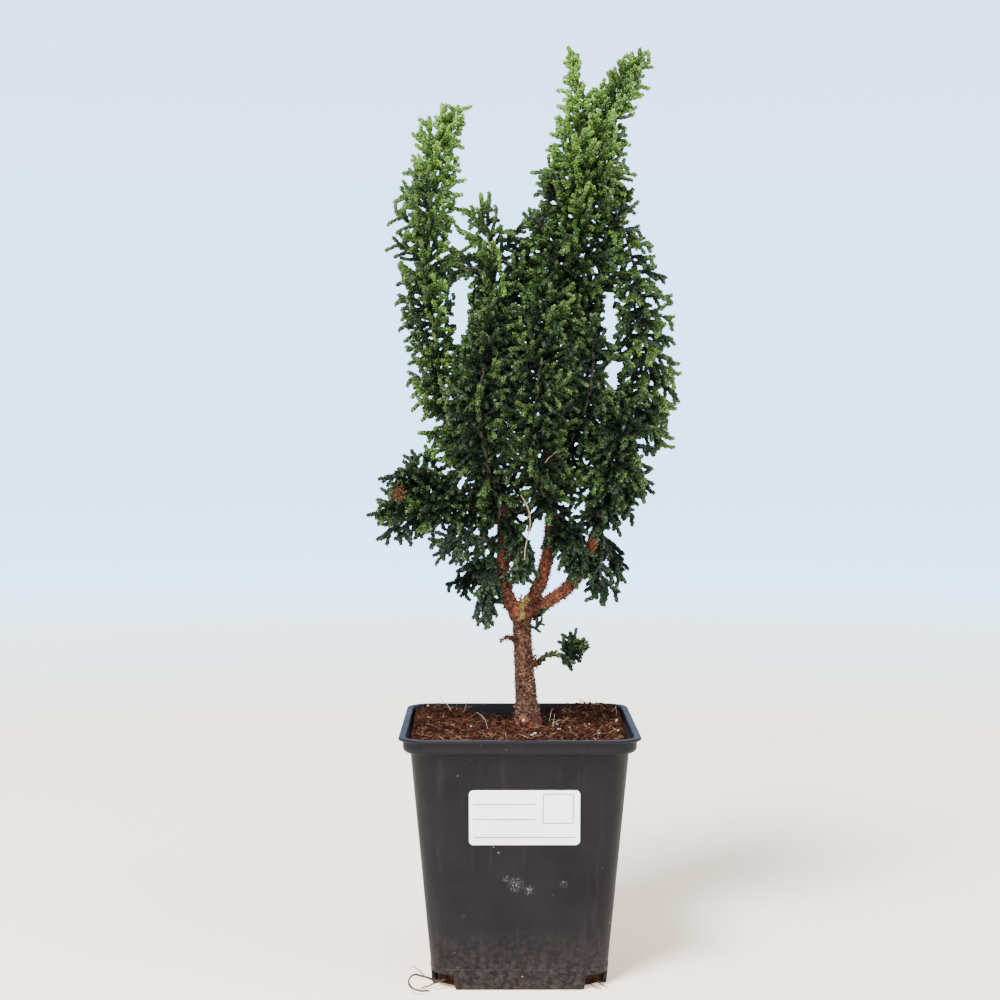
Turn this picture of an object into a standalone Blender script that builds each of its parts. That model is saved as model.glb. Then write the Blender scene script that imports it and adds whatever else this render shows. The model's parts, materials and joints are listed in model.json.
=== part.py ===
"""A hinoki cypress bonsai in its square plastic nursery pot.

Sizes are in metres, +Z is up, the front is towards -Y and the origin is the centre of the pot's underside.
The tree's wood is one piece. Each leafy stem is one piece too: a bent core with cord-like sprays of scale
leaves growing round it. A spray that would cross another piece turns aside, grows shorter or is left out.
"""

import math
import random
from collections import namedtuple

import bmesh
import bpy
import numpy as np
from mathutils import Matrix, Vector, noise

# Pot
POT_HEIGHT = 0.117
WALL = 0.0012
FOOT_HALF = 0.0402  # half the outer width at the floor
SHOULDER_HALF = 0.0499  # half the outer width just under the collar
COLLAR_HALF = 0.0531
LIP_HALF = 0.055
COLLAR_BOTTOM = 0.1095
COLLAR_ROUND = 0.003
LIP_THICKNESS = 0.0013
FOOT_CORNER = 0.0135
COLLAR_CORNER = 0.0115
CORNER_STEPS = 3
NOTCH_INNER = 0.028  # a drainage notch takes each bottom corner from here outwards
NOTCH_FLARE = 0.0025
NOTCH_HEIGHT = 0.0068
PAD_SIZE = (0.030, 0.0017, 0.0050)  # moulded pad inside the back of the collar
PAD_PLACE = (0.0044, 0.05165, 0.1127)

# Label
LABEL_WIDTH = 0.050
LABEL_HEIGHT = 0.0254
LABEL_THICKNESS = 0.0002
LABEL_CORNER = 0.002
LABEL_GAP = 0.00015
LABEL_PLACE = (0.002, 0.081)  # x and z of its middle

# Soil
SOIL_LEVEL = 0.1135
SOIL_GAP = 0.0003
SOIL_CORNER = 0.015  # rounder than the pot's, so that the block clears its corners
SOIL_HALF = 0.0504  # at the surface, inside the collar
SOIL_SHOULDER = 0.0008  # above and below the collar's bottom, where the block narrows to the wall
SOIL_SQUARES = 10
SOIL_RIPPLE = 0.0007
SOIL_RIPPLE_PITCH = 0.008
TRUNK_HOLE = 0.0078
TRUNK_FOOT = 0.098
# Mounds and hollows: x, y, radius, height
SOIL_MOUNDS = [
    (-0.040, 0.036, 0.018, 0.0030),
    (0.037, 0.038, 0.018, 0.0026),
    (0.002, 0.032, 0.014, -0.0055),
    (0.000, -0.046, 0.022, 0.0008),
    (0.0045, 0.000, 0.013, 0.0010),
]

# Wood: parent, share of the parent's length where it starts, points and radii
Limb = namedtuple("Limb", "parent place points radii")
WOOD = {
    "trunk": Limb(
        None, 0.0,
        [(0.0046, 0.0, TRUNK_FOOT), (0.0046, 0.0, 0.112), (0.0039, 0.0, 0.122), (0.0029, 0.0, 0.138),
         (0.0019, 0.0, 0.155), (0.0012, 0.0, 0.172)],
        [0.0055, 0.0068, 0.0050, 0.0044, 0.0042, 0.0046],
    ),
    "limb_left": Limb(
        "trunk", 1.0,
        [(-0.0005, 0.0, 0.168), (-0.006, -0.001, 0.178), (-0.0075, -0.002, 0.192), (-0.007, -0.002, 0.208),
         (-0.009, -0.001, 0.224), (-0.012, 0.0, 0.240), (-0.015, 0.001, 0.256), (-0.017, 0.001, 0.270)],
        [0.0033, 0.0032, 0.0029, 0.0026, 0.0023, 0.0020, 0.0017, 0.0015],
    ),
    "limb_centre": Limb(
        "trunk", 1.0,
        [(0.0015, 0.0, 0.168), (0.008, 0.001, 0.178), (0.0122, 0.001, 0.189), (0.0145, 0.001, 0.202),
         (0.016, 0.002, 0.218), (0.018, 0.003, 0.238), (0.020, 0.003, 0.262), (0.021, 0.002, 0.286),
         (0.023, 0.001, 0.306)],
        [0.0033, 0.0031, 0.0028, 0.0026, 0.0024, 0.0022, 0.0020, 0.0018, 0.0016],
    ),
    "limb_right": Limb(
        "trunk", 1.0,
        [(0.003, 0.0, 0.1675), (0.0145, -0.001, 0.1745), (0.0235, -0.002, 0.181), (0.0298, -0.002, 0.190),
         (0.035, -0.001, 0.203), (0.041, 0.0, 0.219), (0.048, 0.001, 0.237), (0.054, 0.001, 0.256)],
        [0.0032, 0.0029, 0.0026, 0.0024, 0.0022, 0.0020, 0.0018, 0.0016],
    ),
    "green_twig": Limb(
        "trunk", 0.6,
        [(0.0025, -0.001, 0.141), (0.008, -0.003, 0.1445), (0.0123, -0.004, 0.1483),
         (0.0161, -0.005, 0.1497), (0.0203, -0.005, 0.1488)],
        [0.0012, 0.0010, 0.0009, 0.0008, 0.0007],
    ),
    "dead_twig": Limb(
        "trunk", 0.8,
        [(0.0, -0.001, 0.1545), (-0.0050, -0.002, 0.1573), (-0.0090, -0.003, 0.1556)],
        [0.0010, 0.0008, 0.0005],
    ),
}
WOOD_STEP = 0.009  # length between the rings of a limb
KNOB_PLACE = (0.0025, -0.0060, 0.1178)
KNOB_RADIUS = 0.0024
SPUR_LENGTH = 0.0030  # dead scale leaves and bark flakes that stand off the limbs
SPUR_RADIUS = 0.0008
SPUR_SINK = 0.55  # of the limb's radius: how far out from its middle a spur starts
SPURS = {"trunk": 14, "limb_left": 20, "limb_centre": 24, "limb_right": 22}
SPUR_SHARES = {  # of each limb's length, clear of the leafy stems further up
    "trunk": (0.25, 0.97),
    "limb_left": (0.05, 0.55),
    "limb_centre": (0.05, 0.42),
    "limb_right": (0.08, 0.62),
}

# Leafy stems: parent, share of the parent's length where it starts, further points, reach of the sprays
# from base to tip, their lean from the stem in degrees, the number of sprays, and how far they turn up
LeafyStem = namedtuple("LeafyStem", "parent place points reach lean sprays lift", defaults=(0.35,))
LEAFY_STEMS = {
    "left_column": LeafyStem(
        "limb_left", 0.72,
        [(-0.02, -0.002, 0.236), (-0.029, -0.004, 0.25), (-0.035, -0.005, 0.268), (-0.0385, -0.005, 0.29),
         (-0.041, -0.004, 0.311), (-0.042, -0.004, 0.332), (-0.042, -0.003, 0.352), (-0.04, -0.002, 0.37),
         (-0.037, -0.001, 0.386), (-0.033, 0.0, 0.397), (-0.0295, 0.0, 0.404)],
        [0.012, 0.014, 0.013, 0.013, 0.013, 0.013, 0.013, 0.013, 0.012, 0.01, 0.006],
        [75, 72, 66, 60, 54, 42], 27,
    ),
    "left_frond": LeafyStem(
        "limb_left", 1.0,
        [(-0.014, -0.002, 0.288), (-0.0105, -0.004, 0.308), (-0.011, -0.004, 0.324), (-0.0135, -0.004, 0.34),
         (-0.016, -0.004, 0.351), (-0.017, -0.003, 0.357)],
        [0.011, 0.012, 0.013, 0.017, 0.016, 0.012, 0.006], [65, 60, 55, 48], 9,
    ),
    "left_bridge": LeafyStem(
        "left_frond", 0.52,
        [(-0.018, -0.008, 0.329), (-0.025, -0.008, 0.331), (-0.031, -0.006, 0.328)],
        [0.005, 0.006, 0.006], [60, 50], 3,
    ),
    "centre_leader": LeafyStem(
        "limb_centre", 1.0,
        [(0.0245, 0.0, 0.325), (0.027, 0.0, 0.345), (0.0305, 0.0, 0.364), (0.035, -0.001, 0.382),
         (0.039, -0.002, 0.397), (0.044, -0.002, 0.407), (0.05, -0.002, 0.416), (0.055, -0.003, 0.425)],
        [0.02, 0.021, 0.019, 0.018, 0.017, 0.013, 0.011, 0.009, 0.005], [70, 65, 60, 52, 42], 27,
    ),
    "second_tip": LeafyStem(
        "centre_leader", 0.46,
        [(0.027, -0.006, 0.374), (0.0265, -0.005, 0.388), (0.0275, -0.003, 0.402), (0.0275, -0.002, 0.416),
         (0.027, -0.002, 0.426)],
        [0.011, 0.011, 0.01, 0.008, 0.006, 0.0045], [60, 55, 40], 10,
    ),
    "centre_left_low": LeafyStem(
        "centre_leader", 0.14,
        [(0.017, -0.005, 0.334), (0.012, -0.006, 0.345), (0.009, -0.006, 0.354)],
        [0.011, 0.01, 0.008, 0.005], [60, 50], 4,
    ),
    "centre_left_high": LeafyStem(
        "centre_leader", 0.34,
        [(0.022, -0.003, 0.356), (0.017, -0.004, 0.365), (0.015, -0.004, 0.373)],
        [0.01, 0.01, 0.008, 0.005], [60, 50], 3,
    ),
    "centre_right": LeafyStem(
        "centre_leader", 0.42,
        [(0.038, 0.005, 0.366), (0.044, 0.007, 0.372), (0.047, 0.006, 0.367)],
        [0.009, 0.009, 0.007], [60, 50], 3,
    ),
    "right_column": LeafyStem(
        "limb_right", 1.0,
        [(0.058, 0.0, 0.273), (0.0605, -0.001, 0.29), (0.059, -0.002, 0.308), (0.056, -0.002, 0.324),
         (0.052, -0.002, 0.34), (0.048, -0.002, 0.352), (0.0445, -0.001, 0.36)],
        [0.018, 0.018, 0.016, 0.014, 0.013, 0.012, 0.01, 0.006], [85, 80, 72, 60], 19, -0.25,
    ),
    "crown_front_left": LeafyStem(
        "limb_left", 0.46,
        [(-0.011, -0.009, 0.226), (-0.015, -0.017, 0.24), (-0.018, -0.021, 0.26), (-0.017, -0.02, 0.28),
         (-0.013, -0.016, 0.3), (-0.009, -0.013, 0.316)],
        [0.012, 0.015, 0.016, 0.016, 0.015, 0.013, 0.009], [85, 75, 65, 55], 14,
    ),
    "crown_front_mid": LeafyStem(
        "limb_centre", 0.4,
        [(0.013, -0.009, 0.222), (0.008, -0.018, 0.238), (0.007, -0.023, 0.258), (0.009, -0.022, 0.28),
         (0.012, -0.017, 0.3), (0.014, -0.013, 0.318)],
        [0.013, 0.016, 0.017, 0.017, 0.016, 0.014, 0.009], [85, 75, 65, 55], 14,
    ),
    "crown_front_right": LeafyStem(
        "limb_centre", 0.54,
        [(0.025, -0.009, 0.252), (0.031, -0.016, 0.266), (0.034, -0.018, 0.284), (0.034, -0.014, 0.302)],
        [0.013, 0.015, 0.015, 0.014, 0.009], [80, 70, 60], 9,
    ),
    "crown_low_right": LeafyStem(
        "limb_right", 0.56,
        [(0.04, -0.01, 0.226), (0.046, -0.015, 0.24), (0.05, -0.016, 0.256), (0.048, -0.012, 0.27)],
        [0.011, 0.014, 0.015, 0.014, 0.009], [85, 80, 70], 8,
    ),
    "crown_left": LeafyStem(
        "limb_left", 0.83,
        [(-0.021, 0.008, 0.26), (-0.027, 0.01, 0.273), (-0.026, 0.009, 0.29), (-0.023, 0.007, 0.305),
         (-0.021, 0.005, 0.318)],
        [0.012, 0.013, 0.013, 0.012, 0.011, 0.007], [75, 65, 55], 7,
    ),
    "crown_mid": LeafyStem(
        "limb_left", 0.92,
        [(-0.009, 0.007, 0.28), (-0.001, 0.006, 0.298), (0.003, 0.005, 0.316), (0.004, 0.003, 0.332),
         (0.002, 0.002, 0.343)],
        [0.013, 0.014, 0.014, 0.012, 0.009, 0.005], [70, 60, 50], 8,
    ),
    "crown_back_left": LeafyStem(
        "limb_left", 0.36,
        [(-0.01, 0.009, 0.218), (-0.014, 0.017, 0.234), (-0.016, 0.022, 0.256), (-0.014, 0.021, 0.279),
         (-0.01, 0.017, 0.3)],
        [0.012, 0.015, 0.015, 0.015, 0.013, 0.009], [85, 75, 60], 9,
    ),
    "crown_back_mid": LeafyStem(
        "limb_centre", 0.44,
        [(0.016, 0.012, 0.228), (0.014, 0.02, 0.244), (0.014, 0.025, 0.266), (0.017, 0.023, 0.286),
         (0.021, 0.017, 0.306), (0.024, 0.013, 0.322)],
        [0.013, 0.015, 0.016, 0.016, 0.014, 0.012, 0.008], [85, 75, 60], 10,
    ),
    "crown_back_right": LeafyStem(
        "limb_centre", 0.58,
        [(0.027, 0.012, 0.264), (0.033, 0.017, 0.281), (0.036, 0.016, 0.298), (0.037, 0.012, 0.314)],
        [0.012, 0.014, 0.014, 0.012, 0.008], [75, 65, 55], 6,
    ),
    "crown_low_back": LeafyStem(
        "limb_right", 0.72,
        [(0.044, 0.011, 0.236), (0.047, 0.016, 0.252), (0.048, 0.014, 0.27)],
        [0.011, 0.012, 0.012, 0.008], [85, 70], 6,
    ),
    "crown_right": LeafyStem(
        "limb_centre", 0.88,
        [(0.032, 0.0, 0.302), (0.037, -0.001, 0.316), (0.038, 0.0, 0.33)],
        [0.008, 0.009, 0.008, 0.006], [65, 55], 3,
    ),
    "low_left_arm": LeafyStem(
        "limb_left", 0.56,
        [(-0.021, -0.006, 0.219), (-0.033, -0.008, 0.22), (-0.043, -0.008, 0.226), (-0.051, -0.008, 0.235)],
        [0.008, 0.01, 0.013, 0.014, 0.01], [75, 70, 60], 7,
    ),
    "low_left_fork": LeafyStem(
        "low_left_arm", 0.5,
        [(-0.042, -0.012, 0.217), (-0.052, -0.013, 0.215), (-0.06, -0.012, 0.219)],
        [0.009, 0.011, 0.011, 0.007], [70, 50], 4,
    ),
    "skirt_left": LeafyStem(
        "limb_left", 0.3,
        [(-0.016, -0.007, 0.204), (-0.025, -0.012, 0.206), (-0.033, -0.012, 0.202)],
        [0.008, 0.009, 0.009, 0.008], [70, 50], 4, -0.35,
    ),
    "skirt_front": LeafyStem(
        "limb_left", 0.16,
        [(-0.011, -0.009, 0.189), (-0.014, -0.013, 0.182), (-0.016, -0.014, 0.174)],
        [0.007, 0.008, 0.008, 0.006], [60, 40], 3, -0.35,
    ),
    "skirt_back": LeafyStem(
        "limb_left", 0.22,
        [(-0.012, 0.007, 0.194), (-0.02, 0.011, 0.191), (-0.027, 0.012, 0.184)],
        [0.008, 0.009, 0.009, 0.007], [70, 50], 3, -0.35,
    ),
    "skirt_mid": LeafyStem(
        "limb_left", 0.42,
        [(-0.002, -0.007, 0.209), (0.001, -0.011, 0.201), (0.001, -0.013, 0.192)],
        [0.007, 0.008, 0.008, 0.006], [65, 45], 3, -0.35,
    ),
    "skirt_centre": LeafyStem(
        "limb_centre", 0.29,
        [(0.021, -0.008, 0.207), (0.025, -0.012, 0.202), (0.028, -0.013, 0.193)],
        [0.008, 0.01, 0.01, 0.007], [70, 50], 4, -0.35,
    ),
    "skirt_centre_back": LeafyStem(
        "limb_centre", 0.35,
        [(0.02, 0.01, 0.213), (0.024, 0.014, 0.208), (0.027, 0.016, 0.2)],
        [0.008, 0.009, 0.009, 0.007], [70, 50], 3, -0.35,
    ),
    "skirt_right": LeafyStem(
        "limb_right", 0.4,
        [(0.036, -0.007, 0.197), (0.038, -0.01, 0.189), (0.04, -0.01, 0.181)],
        [0.007, 0.008, 0.008, 0.006], [65, 45], 3, -0.35,
    ),
    "skirt_right_back": LeafyStem(
        "limb_right", 0.47,
        [(0.04, 0.007, 0.205), (0.044, 0.01, 0.199), (0.047, 0.01, 0.191)],
        [0.007, 0.008, 0.008, 0.006], [65, 45], 3, -0.35,
    ),
    "skirt_outer": LeafyStem(
        "limb_right", 0.64,
        [(0.049, -0.003, 0.229), (0.054, -0.005, 0.235), (0.057, -0.006, 0.233)],
        [0.008, 0.009, 0.008, 0.006], [70, 50], 3, -0.35,
    ),
    "twig_tuft": LeafyStem(
        "green_twig", 1.0,
        [(0.0240, -0.005, 0.1500), (0.0265, -0.005, 0.1535)],
        [0.005, 0.0065, 0.005], [65, 45], 5,
    ),
    "fork_buds": LeafyStem(
        "trunk", 0.93,
        [(0.0015, -0.0085, 0.172), (0.0025, -0.0100, 0.1765)],
        [0.003, 0.004, 0.004], [60, 40], 4,
    ),
    "fork_tuft": LeafyStem(
        "trunk", 0.86,
        [(0.0085, -0.003, 0.1665), (0.0105, -0.004, 0.1690)],
        [0.003, 0.004, 0.003], [60, 40], 3,
    ),
}
END_GAP = 0.00035  # between a leafy stem and the end of the limb that it grows on from
SIDE_GAP = 0.0013  # between a leafy stem and the side of the limb or stem that it grows from
SQUARE_RUN = 0.0022  # a leafy stem leaves its parent square to the surface for this far
CORE_STEP = 0.0095
CORE_RADII = (0.0015, 0.0007)  # at the base and at the tip of a leafy stem

# Sprays: a jointed three-sided cord with a shoot on each side of each joint
CORD_RADIUS = 0.0019
CORD_ROOT = 0.0005
CORD_TAPER = 0.8  # the last joint's thickness against the first one's
JOINT_PITCH = 0.0050
SHOOT_RADIUS = 0.0014
SHOOT_SHARES = (0.78, 0.30)  # of the spray's length, at its base and at its tip
SHOOT_LENGTHS = (0.0040, 0.0115)
SHOOT_LEAN = math.radians(50)
SIDE_REACH = (1.0, 1.0, 0.75)  # of a shoot's length: left and right in the fan, and below it
GOLDEN_TURN = math.radians(137.5)
SPRAY_GAP = 0.0004  # least space between cords of different stems
TRIES = 9
LOWEST_SPRAY = 0.128  # keeps sprays clear of the soil

WOOD_COLOUR = (0.19, 0.085, 0.05)
LEAF_COLOUR = (0.045, 0.085, 0.03)
YOUNG_LEAF_COLOUR = (0.16, 0.24, 0.05)
PLASTIC_COLOUR = (0.06, 0.056, 0.058)
SOIL_COLOUR = (0.075, 0.035, 0.02)
LABEL_COLOUR = (0.85, 0.79, 0.80)


def clear_scene():
    for obj in list(bpy.data.objects):
        bpy.data.objects.remove(obj, do_unlink=True)


def new_collection(name):
    collection = bpy.data.collections.new(name)
    bpy.context.scene.collection.children.link(collection)
    return collection


def material(name, colour, roughness):
    made = bpy.data.materials.new(name)
    made.use_nodes = True
    shader = made.node_tree.nodes["Principled BSDF"]
    shader.inputs["Base Color"].default_value = (*colour, 1.0)
    shader.inputs["Roughness"].default_value = roughness
    return made


def object_from_bmesh(name, bm, collection):
    mesh = bpy.data.meshes.new(name)
    bm.to_mesh(mesh)
    bm.free()
    obj = bpy.data.objects.new(name, mesh)
    collection.objects.link(obj)
    return obj


def evaluated_mesh(obj):
    """A copy of the object's mesh as its modifiers or its curve settings leave it."""
    graph = bpy.context.evaluated_depsgraph_get()
    graph.update()
    return bpy.data.meshes.new_from_object(obj.evaluated_get(graph))


def finish(obj, look):
    obj.data.materials.clear()
    obj.data.materials.append(look)
    obj.data.shade_flat()


def unit(vector):
    return vector / np.linalg.norm(vector)


class Route:
    """A smooth curve through given points, read by its share of the length from 0 to 1."""

    STEPS = 8

    def __init__(self, points):
        given = [np.array(point, float) for point in points]
        given = [2 * given[0] - given[1], *given, 2 * given[-1] - given[-2]]
        samples = []
        for before, start, end, after in zip(given, given[1:], given[2:], given[3:]):
            for t in np.arange(self.STEPS) / self.STEPS:
                samples.append(
                    0.5 * (2 * start + (end - before) * t
                           + (2 * before - 5 * start + 4 * end - after) * t**2
                           + (3 * start - before - 3 * end + after) * t**3)
                )
        samples.append(given[-2])
        self.samples = np.array(samples)
        steps = np.linalg.norm(np.diff(self.samples, axis=0), axis=1)
        self.along = np.concatenate([[0.0], np.cumsum(steps)])
        self.length = float(self.along[-1])

    def at(self, share):
        place = min(max(share, 0.0), 1.0) * self.length
        return np.array([np.interp(place, self.along, self.samples[:, axis]) for axis in range(3)])

    def tangent(self, share):
        return unit(self.at(share + 0.02) - self.at(share - 0.02))

    def shares(self, step):
        return np.linspace(0.0, 1.0, max(2, round(self.length / step)) + 1)


def read_along(values, share):
    """A value between the ones given from base to tip."""
    return float(np.interp(share, np.linspace(0.0, 1.0, len(values)), values))


def frame_at(route, share):
    """The direction of a route at a place, with two directions square to it."""
    along = route.tangent(share)
    helper = np.array([0.0, 1.0, 0.0]) if abs(along[2]) > 0.95 else np.array([0.0, 0.0, 1.0])
    side = unit(np.cross(along, helper))
    return along, side, unit(np.cross(along, side))


def clearance(start, end, starts, ends):
    """The shortest distance from one segment to each of many."""
    u, v, w = end - start, ends - starts, start - starts
    a, b, c = u @ u, v @ u, (v * v).sum(axis=1)
    d, e = w @ u, (v * w).sum(axis=1)
    spread = a * c - b * b
    s = np.where(spread > 1e-14, (b * e - c * d) / np.maximum(spread, 1e-14), 0.0)
    t = np.clip((b * np.clip(s, 0.0, 1.0) + e) / np.maximum(c, 1e-14), 0.0, 1.0)
    s = np.clip((b * t - d) / a, 0.0, 1.0)
    return np.linalg.norm(w + s[:, None] * u - t[:, None] * v, axis=1)


class Occupied:
    """The space that wood, stems and cords fill, as capsules that each belong to one piece."""

    def __init__(self):
        self.starts = np.empty((0, 3))
        self.ends = np.empty((0, 3))
        self.radii = np.empty(0)
        self.owners = np.empty(0, dtype=object)

    def add(self, owner, start, end, radius):
        self.starts = np.vstack([self.starts, start])
        self.ends = np.vstack([self.ends, end])
        self.radii = np.append(self.radii, radius)
        self.owners = np.append(self.owners, owner)

    def add_route(self, owner, route, radii, step):
        shares = route.shares(step)
        for low, high in zip(shares, shares[1:]):
            self.add(owner, route.at(low), route.at(high), read_along(radii, low))

    def free(self, owner, start, end, radius):
        others = self.owners != owner
        room = clearance(start, end, self.starts[others], self.ends[others])
        return bool((room > self.radii[others] + radius + SPRAY_GAP).all())


def tube(name, route, radii, step, sides_setting, collection):
    """A mesh tube along a route, round or square in section, with flat ends."""
    curve = bpy.data.curves.new(name, "CURVE")
    curve.dimensions = "3D"
    curve.twist_mode = "MINIMUM"
    curve.bevel_depth = 1.0
    curve.bevel_resolution = sides_setting
    curve.use_fill_caps = True
    shares = route.shares(step)
    spline = curve.splines.new("POLY")
    spline.points.add(len(shares) - 1)
    for point, share in zip(spline.points, shares):
        point.co = (*route.at(share), 1.0)
        point.radius = read_along(radii, share)
    guide = bpy.data.objects.new(name + "_guide", curve)
    collection.objects.link(guide)
    bm = bmesh.new()
    mesh = evaluated_mesh(guide)
    bm.from_mesh(mesh)
    bmesh.ops.remove_doubles(bm, verts=bm.verts, dist=1e-6)
    bpy.data.meshes.remove(mesh)
    bpy.data.curves.remove(curve)
    return object_from_bmesh(name, bm, collection)


def aimed(start, direction, roll):
    """The placement that puts a shape's +Z along a direction, turned about it."""
    turn = Vector(direction).to_track_quat("Z", "Y").to_matrix().to_4x4()
    return Matrix.Translation(Vector(start)) @ turn @ Matrix.Rotation(roll, 4, "Z")


def thorn_object(name, foot, tip, radius, roll, collection):
    """A three-sided spike."""
    length = float(np.linalg.norm(tip - foot))
    bm = bmesh.new()
    bmesh.ops.create_cone(bm, segments=3, radius1=radius, radius2=0.0, depth=length, cap_ends=True)
    bmesh.ops.translate(bm, verts=bm.verts, vec=(0.0, 0.0, length / 2))
    bmesh.ops.transform(bm, matrix=aimed(foot, tip - foot, roll), verts=bm.verts)
    return object_from_bmesh(name, bm, collection)


def keep_largest_body(bm):
    """Drops loose scraps, and the inner walls of any hollow that joining sealed."""
    bodies = []
    left = set(bm.faces)
    while left:
        body, border = set(), [left.pop()]
        while border:
            face = border.pop()
            body.add(face)
            for edge in face.edges:
                for near in edge.link_faces:
                    if near in left:
                        left.remove(near)
                        border.append(near)
        bodies.append(body)
    largest = max(bodies, key=len)
    scraps = [face for body in bodies if body is not largest for face in body]
    bmesh.ops.delete(bm, geom=scraps, context="FACES")


def fuse(obj, extras):
    """Joins everything in a collection to an object, then removes the collection and what it held."""
    union = obj.modifiers.new("union", "BOOLEAN")
    union.operation = "UNION"
    union.operand_type = "COLLECTION"
    union.collection = extras
    joined = evaluated_mesh(obj)
    bm = bmesh.new()
    bm.from_mesh(joined)
    bmesh.ops.dissolve_degenerate(bm, dist=1e-7, edges=bm.edges)
    bmesh.ops.triangulate(bm, faces=bm.faces)
    keep_largest_body(bm)
    obj.modifiers.clear()
    bm.to_mesh(obj.data)
    bm.free()
    bpy.data.meshes.remove(joined)
    for extra in list(extras.objects):
        bpy.data.meshes.remove(extra.data)
    bpy.data.collections.remove(extras)


def cut(obj, cutter):
    modifier = obj.modifiers.new("cut " + cutter.name, "BOOLEAN")
    modifier.operation = "DIFFERENCE"
    modifier.object = cutter
    cutter.hide_render = True
    cutter.display_type = "WIRE"


def rounded_square(half, corner):
    """The corner points of a square with round corners, counter-clockwise from +X."""
    points = []
    for quarter in range(4):
        for step in range(CORNER_STEPS + 1):
            angle = math.radians(90 * (quarter + step / CORNER_STEPS))
            turn = math.radians(90 * quarter + 45)
            middle = (half - corner) * math.sqrt(2)
            points.append((middle * math.cos(turn) + corner * math.cos(angle),
                           middle * math.sin(turn) + corner * math.sin(angle)))
    return points


def loft(bm, levels):
    """A closed solid through round-cornered squares, each a height, a half width and a corner radius."""
    rings = [
        [bm.verts.new((x, y, height)) for x, y in rounded_square(half, corner)]
        for height, half, corner in levels
    ]
    for low, high in zip(rings, rings[1:]):
        for corner in range(len(low)):
            bm.faces.new((low[corner - 1], low[corner], high[corner], high[corner - 1]))
    bm.faces.new(reversed(rings[0]))
    bm.faces.new(rings[-1])


def wall_half(height):
    """Half the pot's outer width at a height on its tapered wall."""
    return FOOT_HALF + (SHOULDER_HALF - FOOT_HALF) * height / COLLAR_BOTTOM


def pot_levels():
    """The pot's skin from its underside, up the outside, over the lip and down to its inner floor."""
    outer = [(0.0, FOOT_HALF), (COLLAR_BOTTOM, SHOULDER_HALF)]
    middle = COLLAR_HALF - COLLAR_ROUND
    for degrees in (-60, -25, 0):
        angle = math.radians(degrees)
        height = COLLAR_BOTTOM + COLLAR_ROUND * (1 + math.sin(angle))
        outer.append((height, middle + COLLAR_ROUND * math.cos(angle)))
    lip_bottom = POT_HEIGHT - LIP_THICKNESS
    edge = LIP_THICKNESS / 4
    outer += [(lip_bottom, COLLAR_HALF), (lip_bottom, LIP_HALF - edge), (lip_bottom + edge, LIP_HALF),
              (POT_HEIGHT - edge, LIP_HALF), (POT_HEIGHT, LIP_HALF - edge)]
    inner = [(POT_HEIGHT, COLLAR_HALF - WALL), (COLLAR_BOTTOM + COLLAR_ROUND, COLLAR_HALF - WALL),
             (COLLAR_BOTTOM, SHOULDER_HALF - WALL), (WALL, wall_half(WALL) - WALL)]
    corner_shift = FOOT_CORNER - FOOT_HALF
    levels = []
    for height, half in outer + inner:
        corner = min(half + corner_shift, COLLAR_CORNER) if height > COLLAR_BOTTOM else FOOT_CORNER
        levels.append((height, half, corner))
    return levels


def notch_cutter(quarter, collection):
    """A block, wider at its top, that takes one bottom corner off the pot."""
    outer = 2 * FOOT_HALF
    bm = bmesh.new()
    bmesh.ops.create_cube(bm, size=1.0)
    for vert in bm.verts:
        top = vert.co.z > 0
        inner = NOTCH_INNER + (NOTCH_FLARE if top else 0.0)
        vert.co.x = outer if vert.co.x > 0 else inner
        vert.co.y = outer if vert.co.y > 0 else inner
        vert.co.z = NOTCH_HEIGHT if top else -NOTCH_HEIGHT
    cutter = object_from_bmesh(f"notch_{quarter + 1}", bm, collection)
    cutter.rotation_euler.z = math.radians(90 * quarter)
    return cutter


def build_pot(parts, cutters):
    bm = bmesh.new()
    loft(bm, pot_levels())
    pot = object_from_bmesh("pot", bm, parts)
    pads = new_collection("pad")
    bm = bmesh.new()
    bmesh.ops.create_cube(bm, size=1.0)
    bmesh.ops.scale(bm, vec=PAD_SIZE, verts=bm.verts)
    bmesh.ops.translate(bm, vec=PAD_PLACE, verts=bm.verts)
    object_from_bmesh("collar_pad", bm, pads)
    fuse(pot, pads)
    for quarter in range(4):
        cut(pot, notch_cutter(quarter, cutters))
    finish(pot, material("pot_plastic", PLASTIC_COLOUR, 0.42))


def soil_height(x, y):
    """Height of the soil's surface, with its mounds, the hollow at the back and small ripples."""
    height = SOIL_LEVEL
    for mound_x, mound_y, radius, rise in SOIL_MOUNDS:
        height += rise * math.exp(-((x - mound_x) ** 2 + (y - mound_y) ** 2) / radius**2)
    return height + SOIL_RIPPLE * noise.noise(Vector((x, y, 0.0)) / SOIL_RIPPLE_PITCH)


def round_corner(x, y, half, corner):
    """Moves a point of a square in to the square's round corner."""
    over_x, over_y = abs(x) - (half - corner), abs(y) - (half - corner)
    over = math.hypot(over_x, over_y)
    if min(over_x, over_y) > 0 and over > corner:
        x = math.copysign(half - corner + over_x * corner / over, x)
        y = math.copysign(half - corner + over_y * corner / over, y)
    return x, y


def soil_point(x, y):
    """A point of the soil's surface, from its place in a plain square."""
    reach = max(abs(x), abs(y)) / SOIL_HALF
    if reach > 0:
        rim_x, rim_y = round_corner(x / reach, y / reach, SOIL_HALF, COLLAR_CORNER)
        x, y = rim_x * reach, rim_y * reach
    return x, y, soil_height(x, y)


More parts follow.
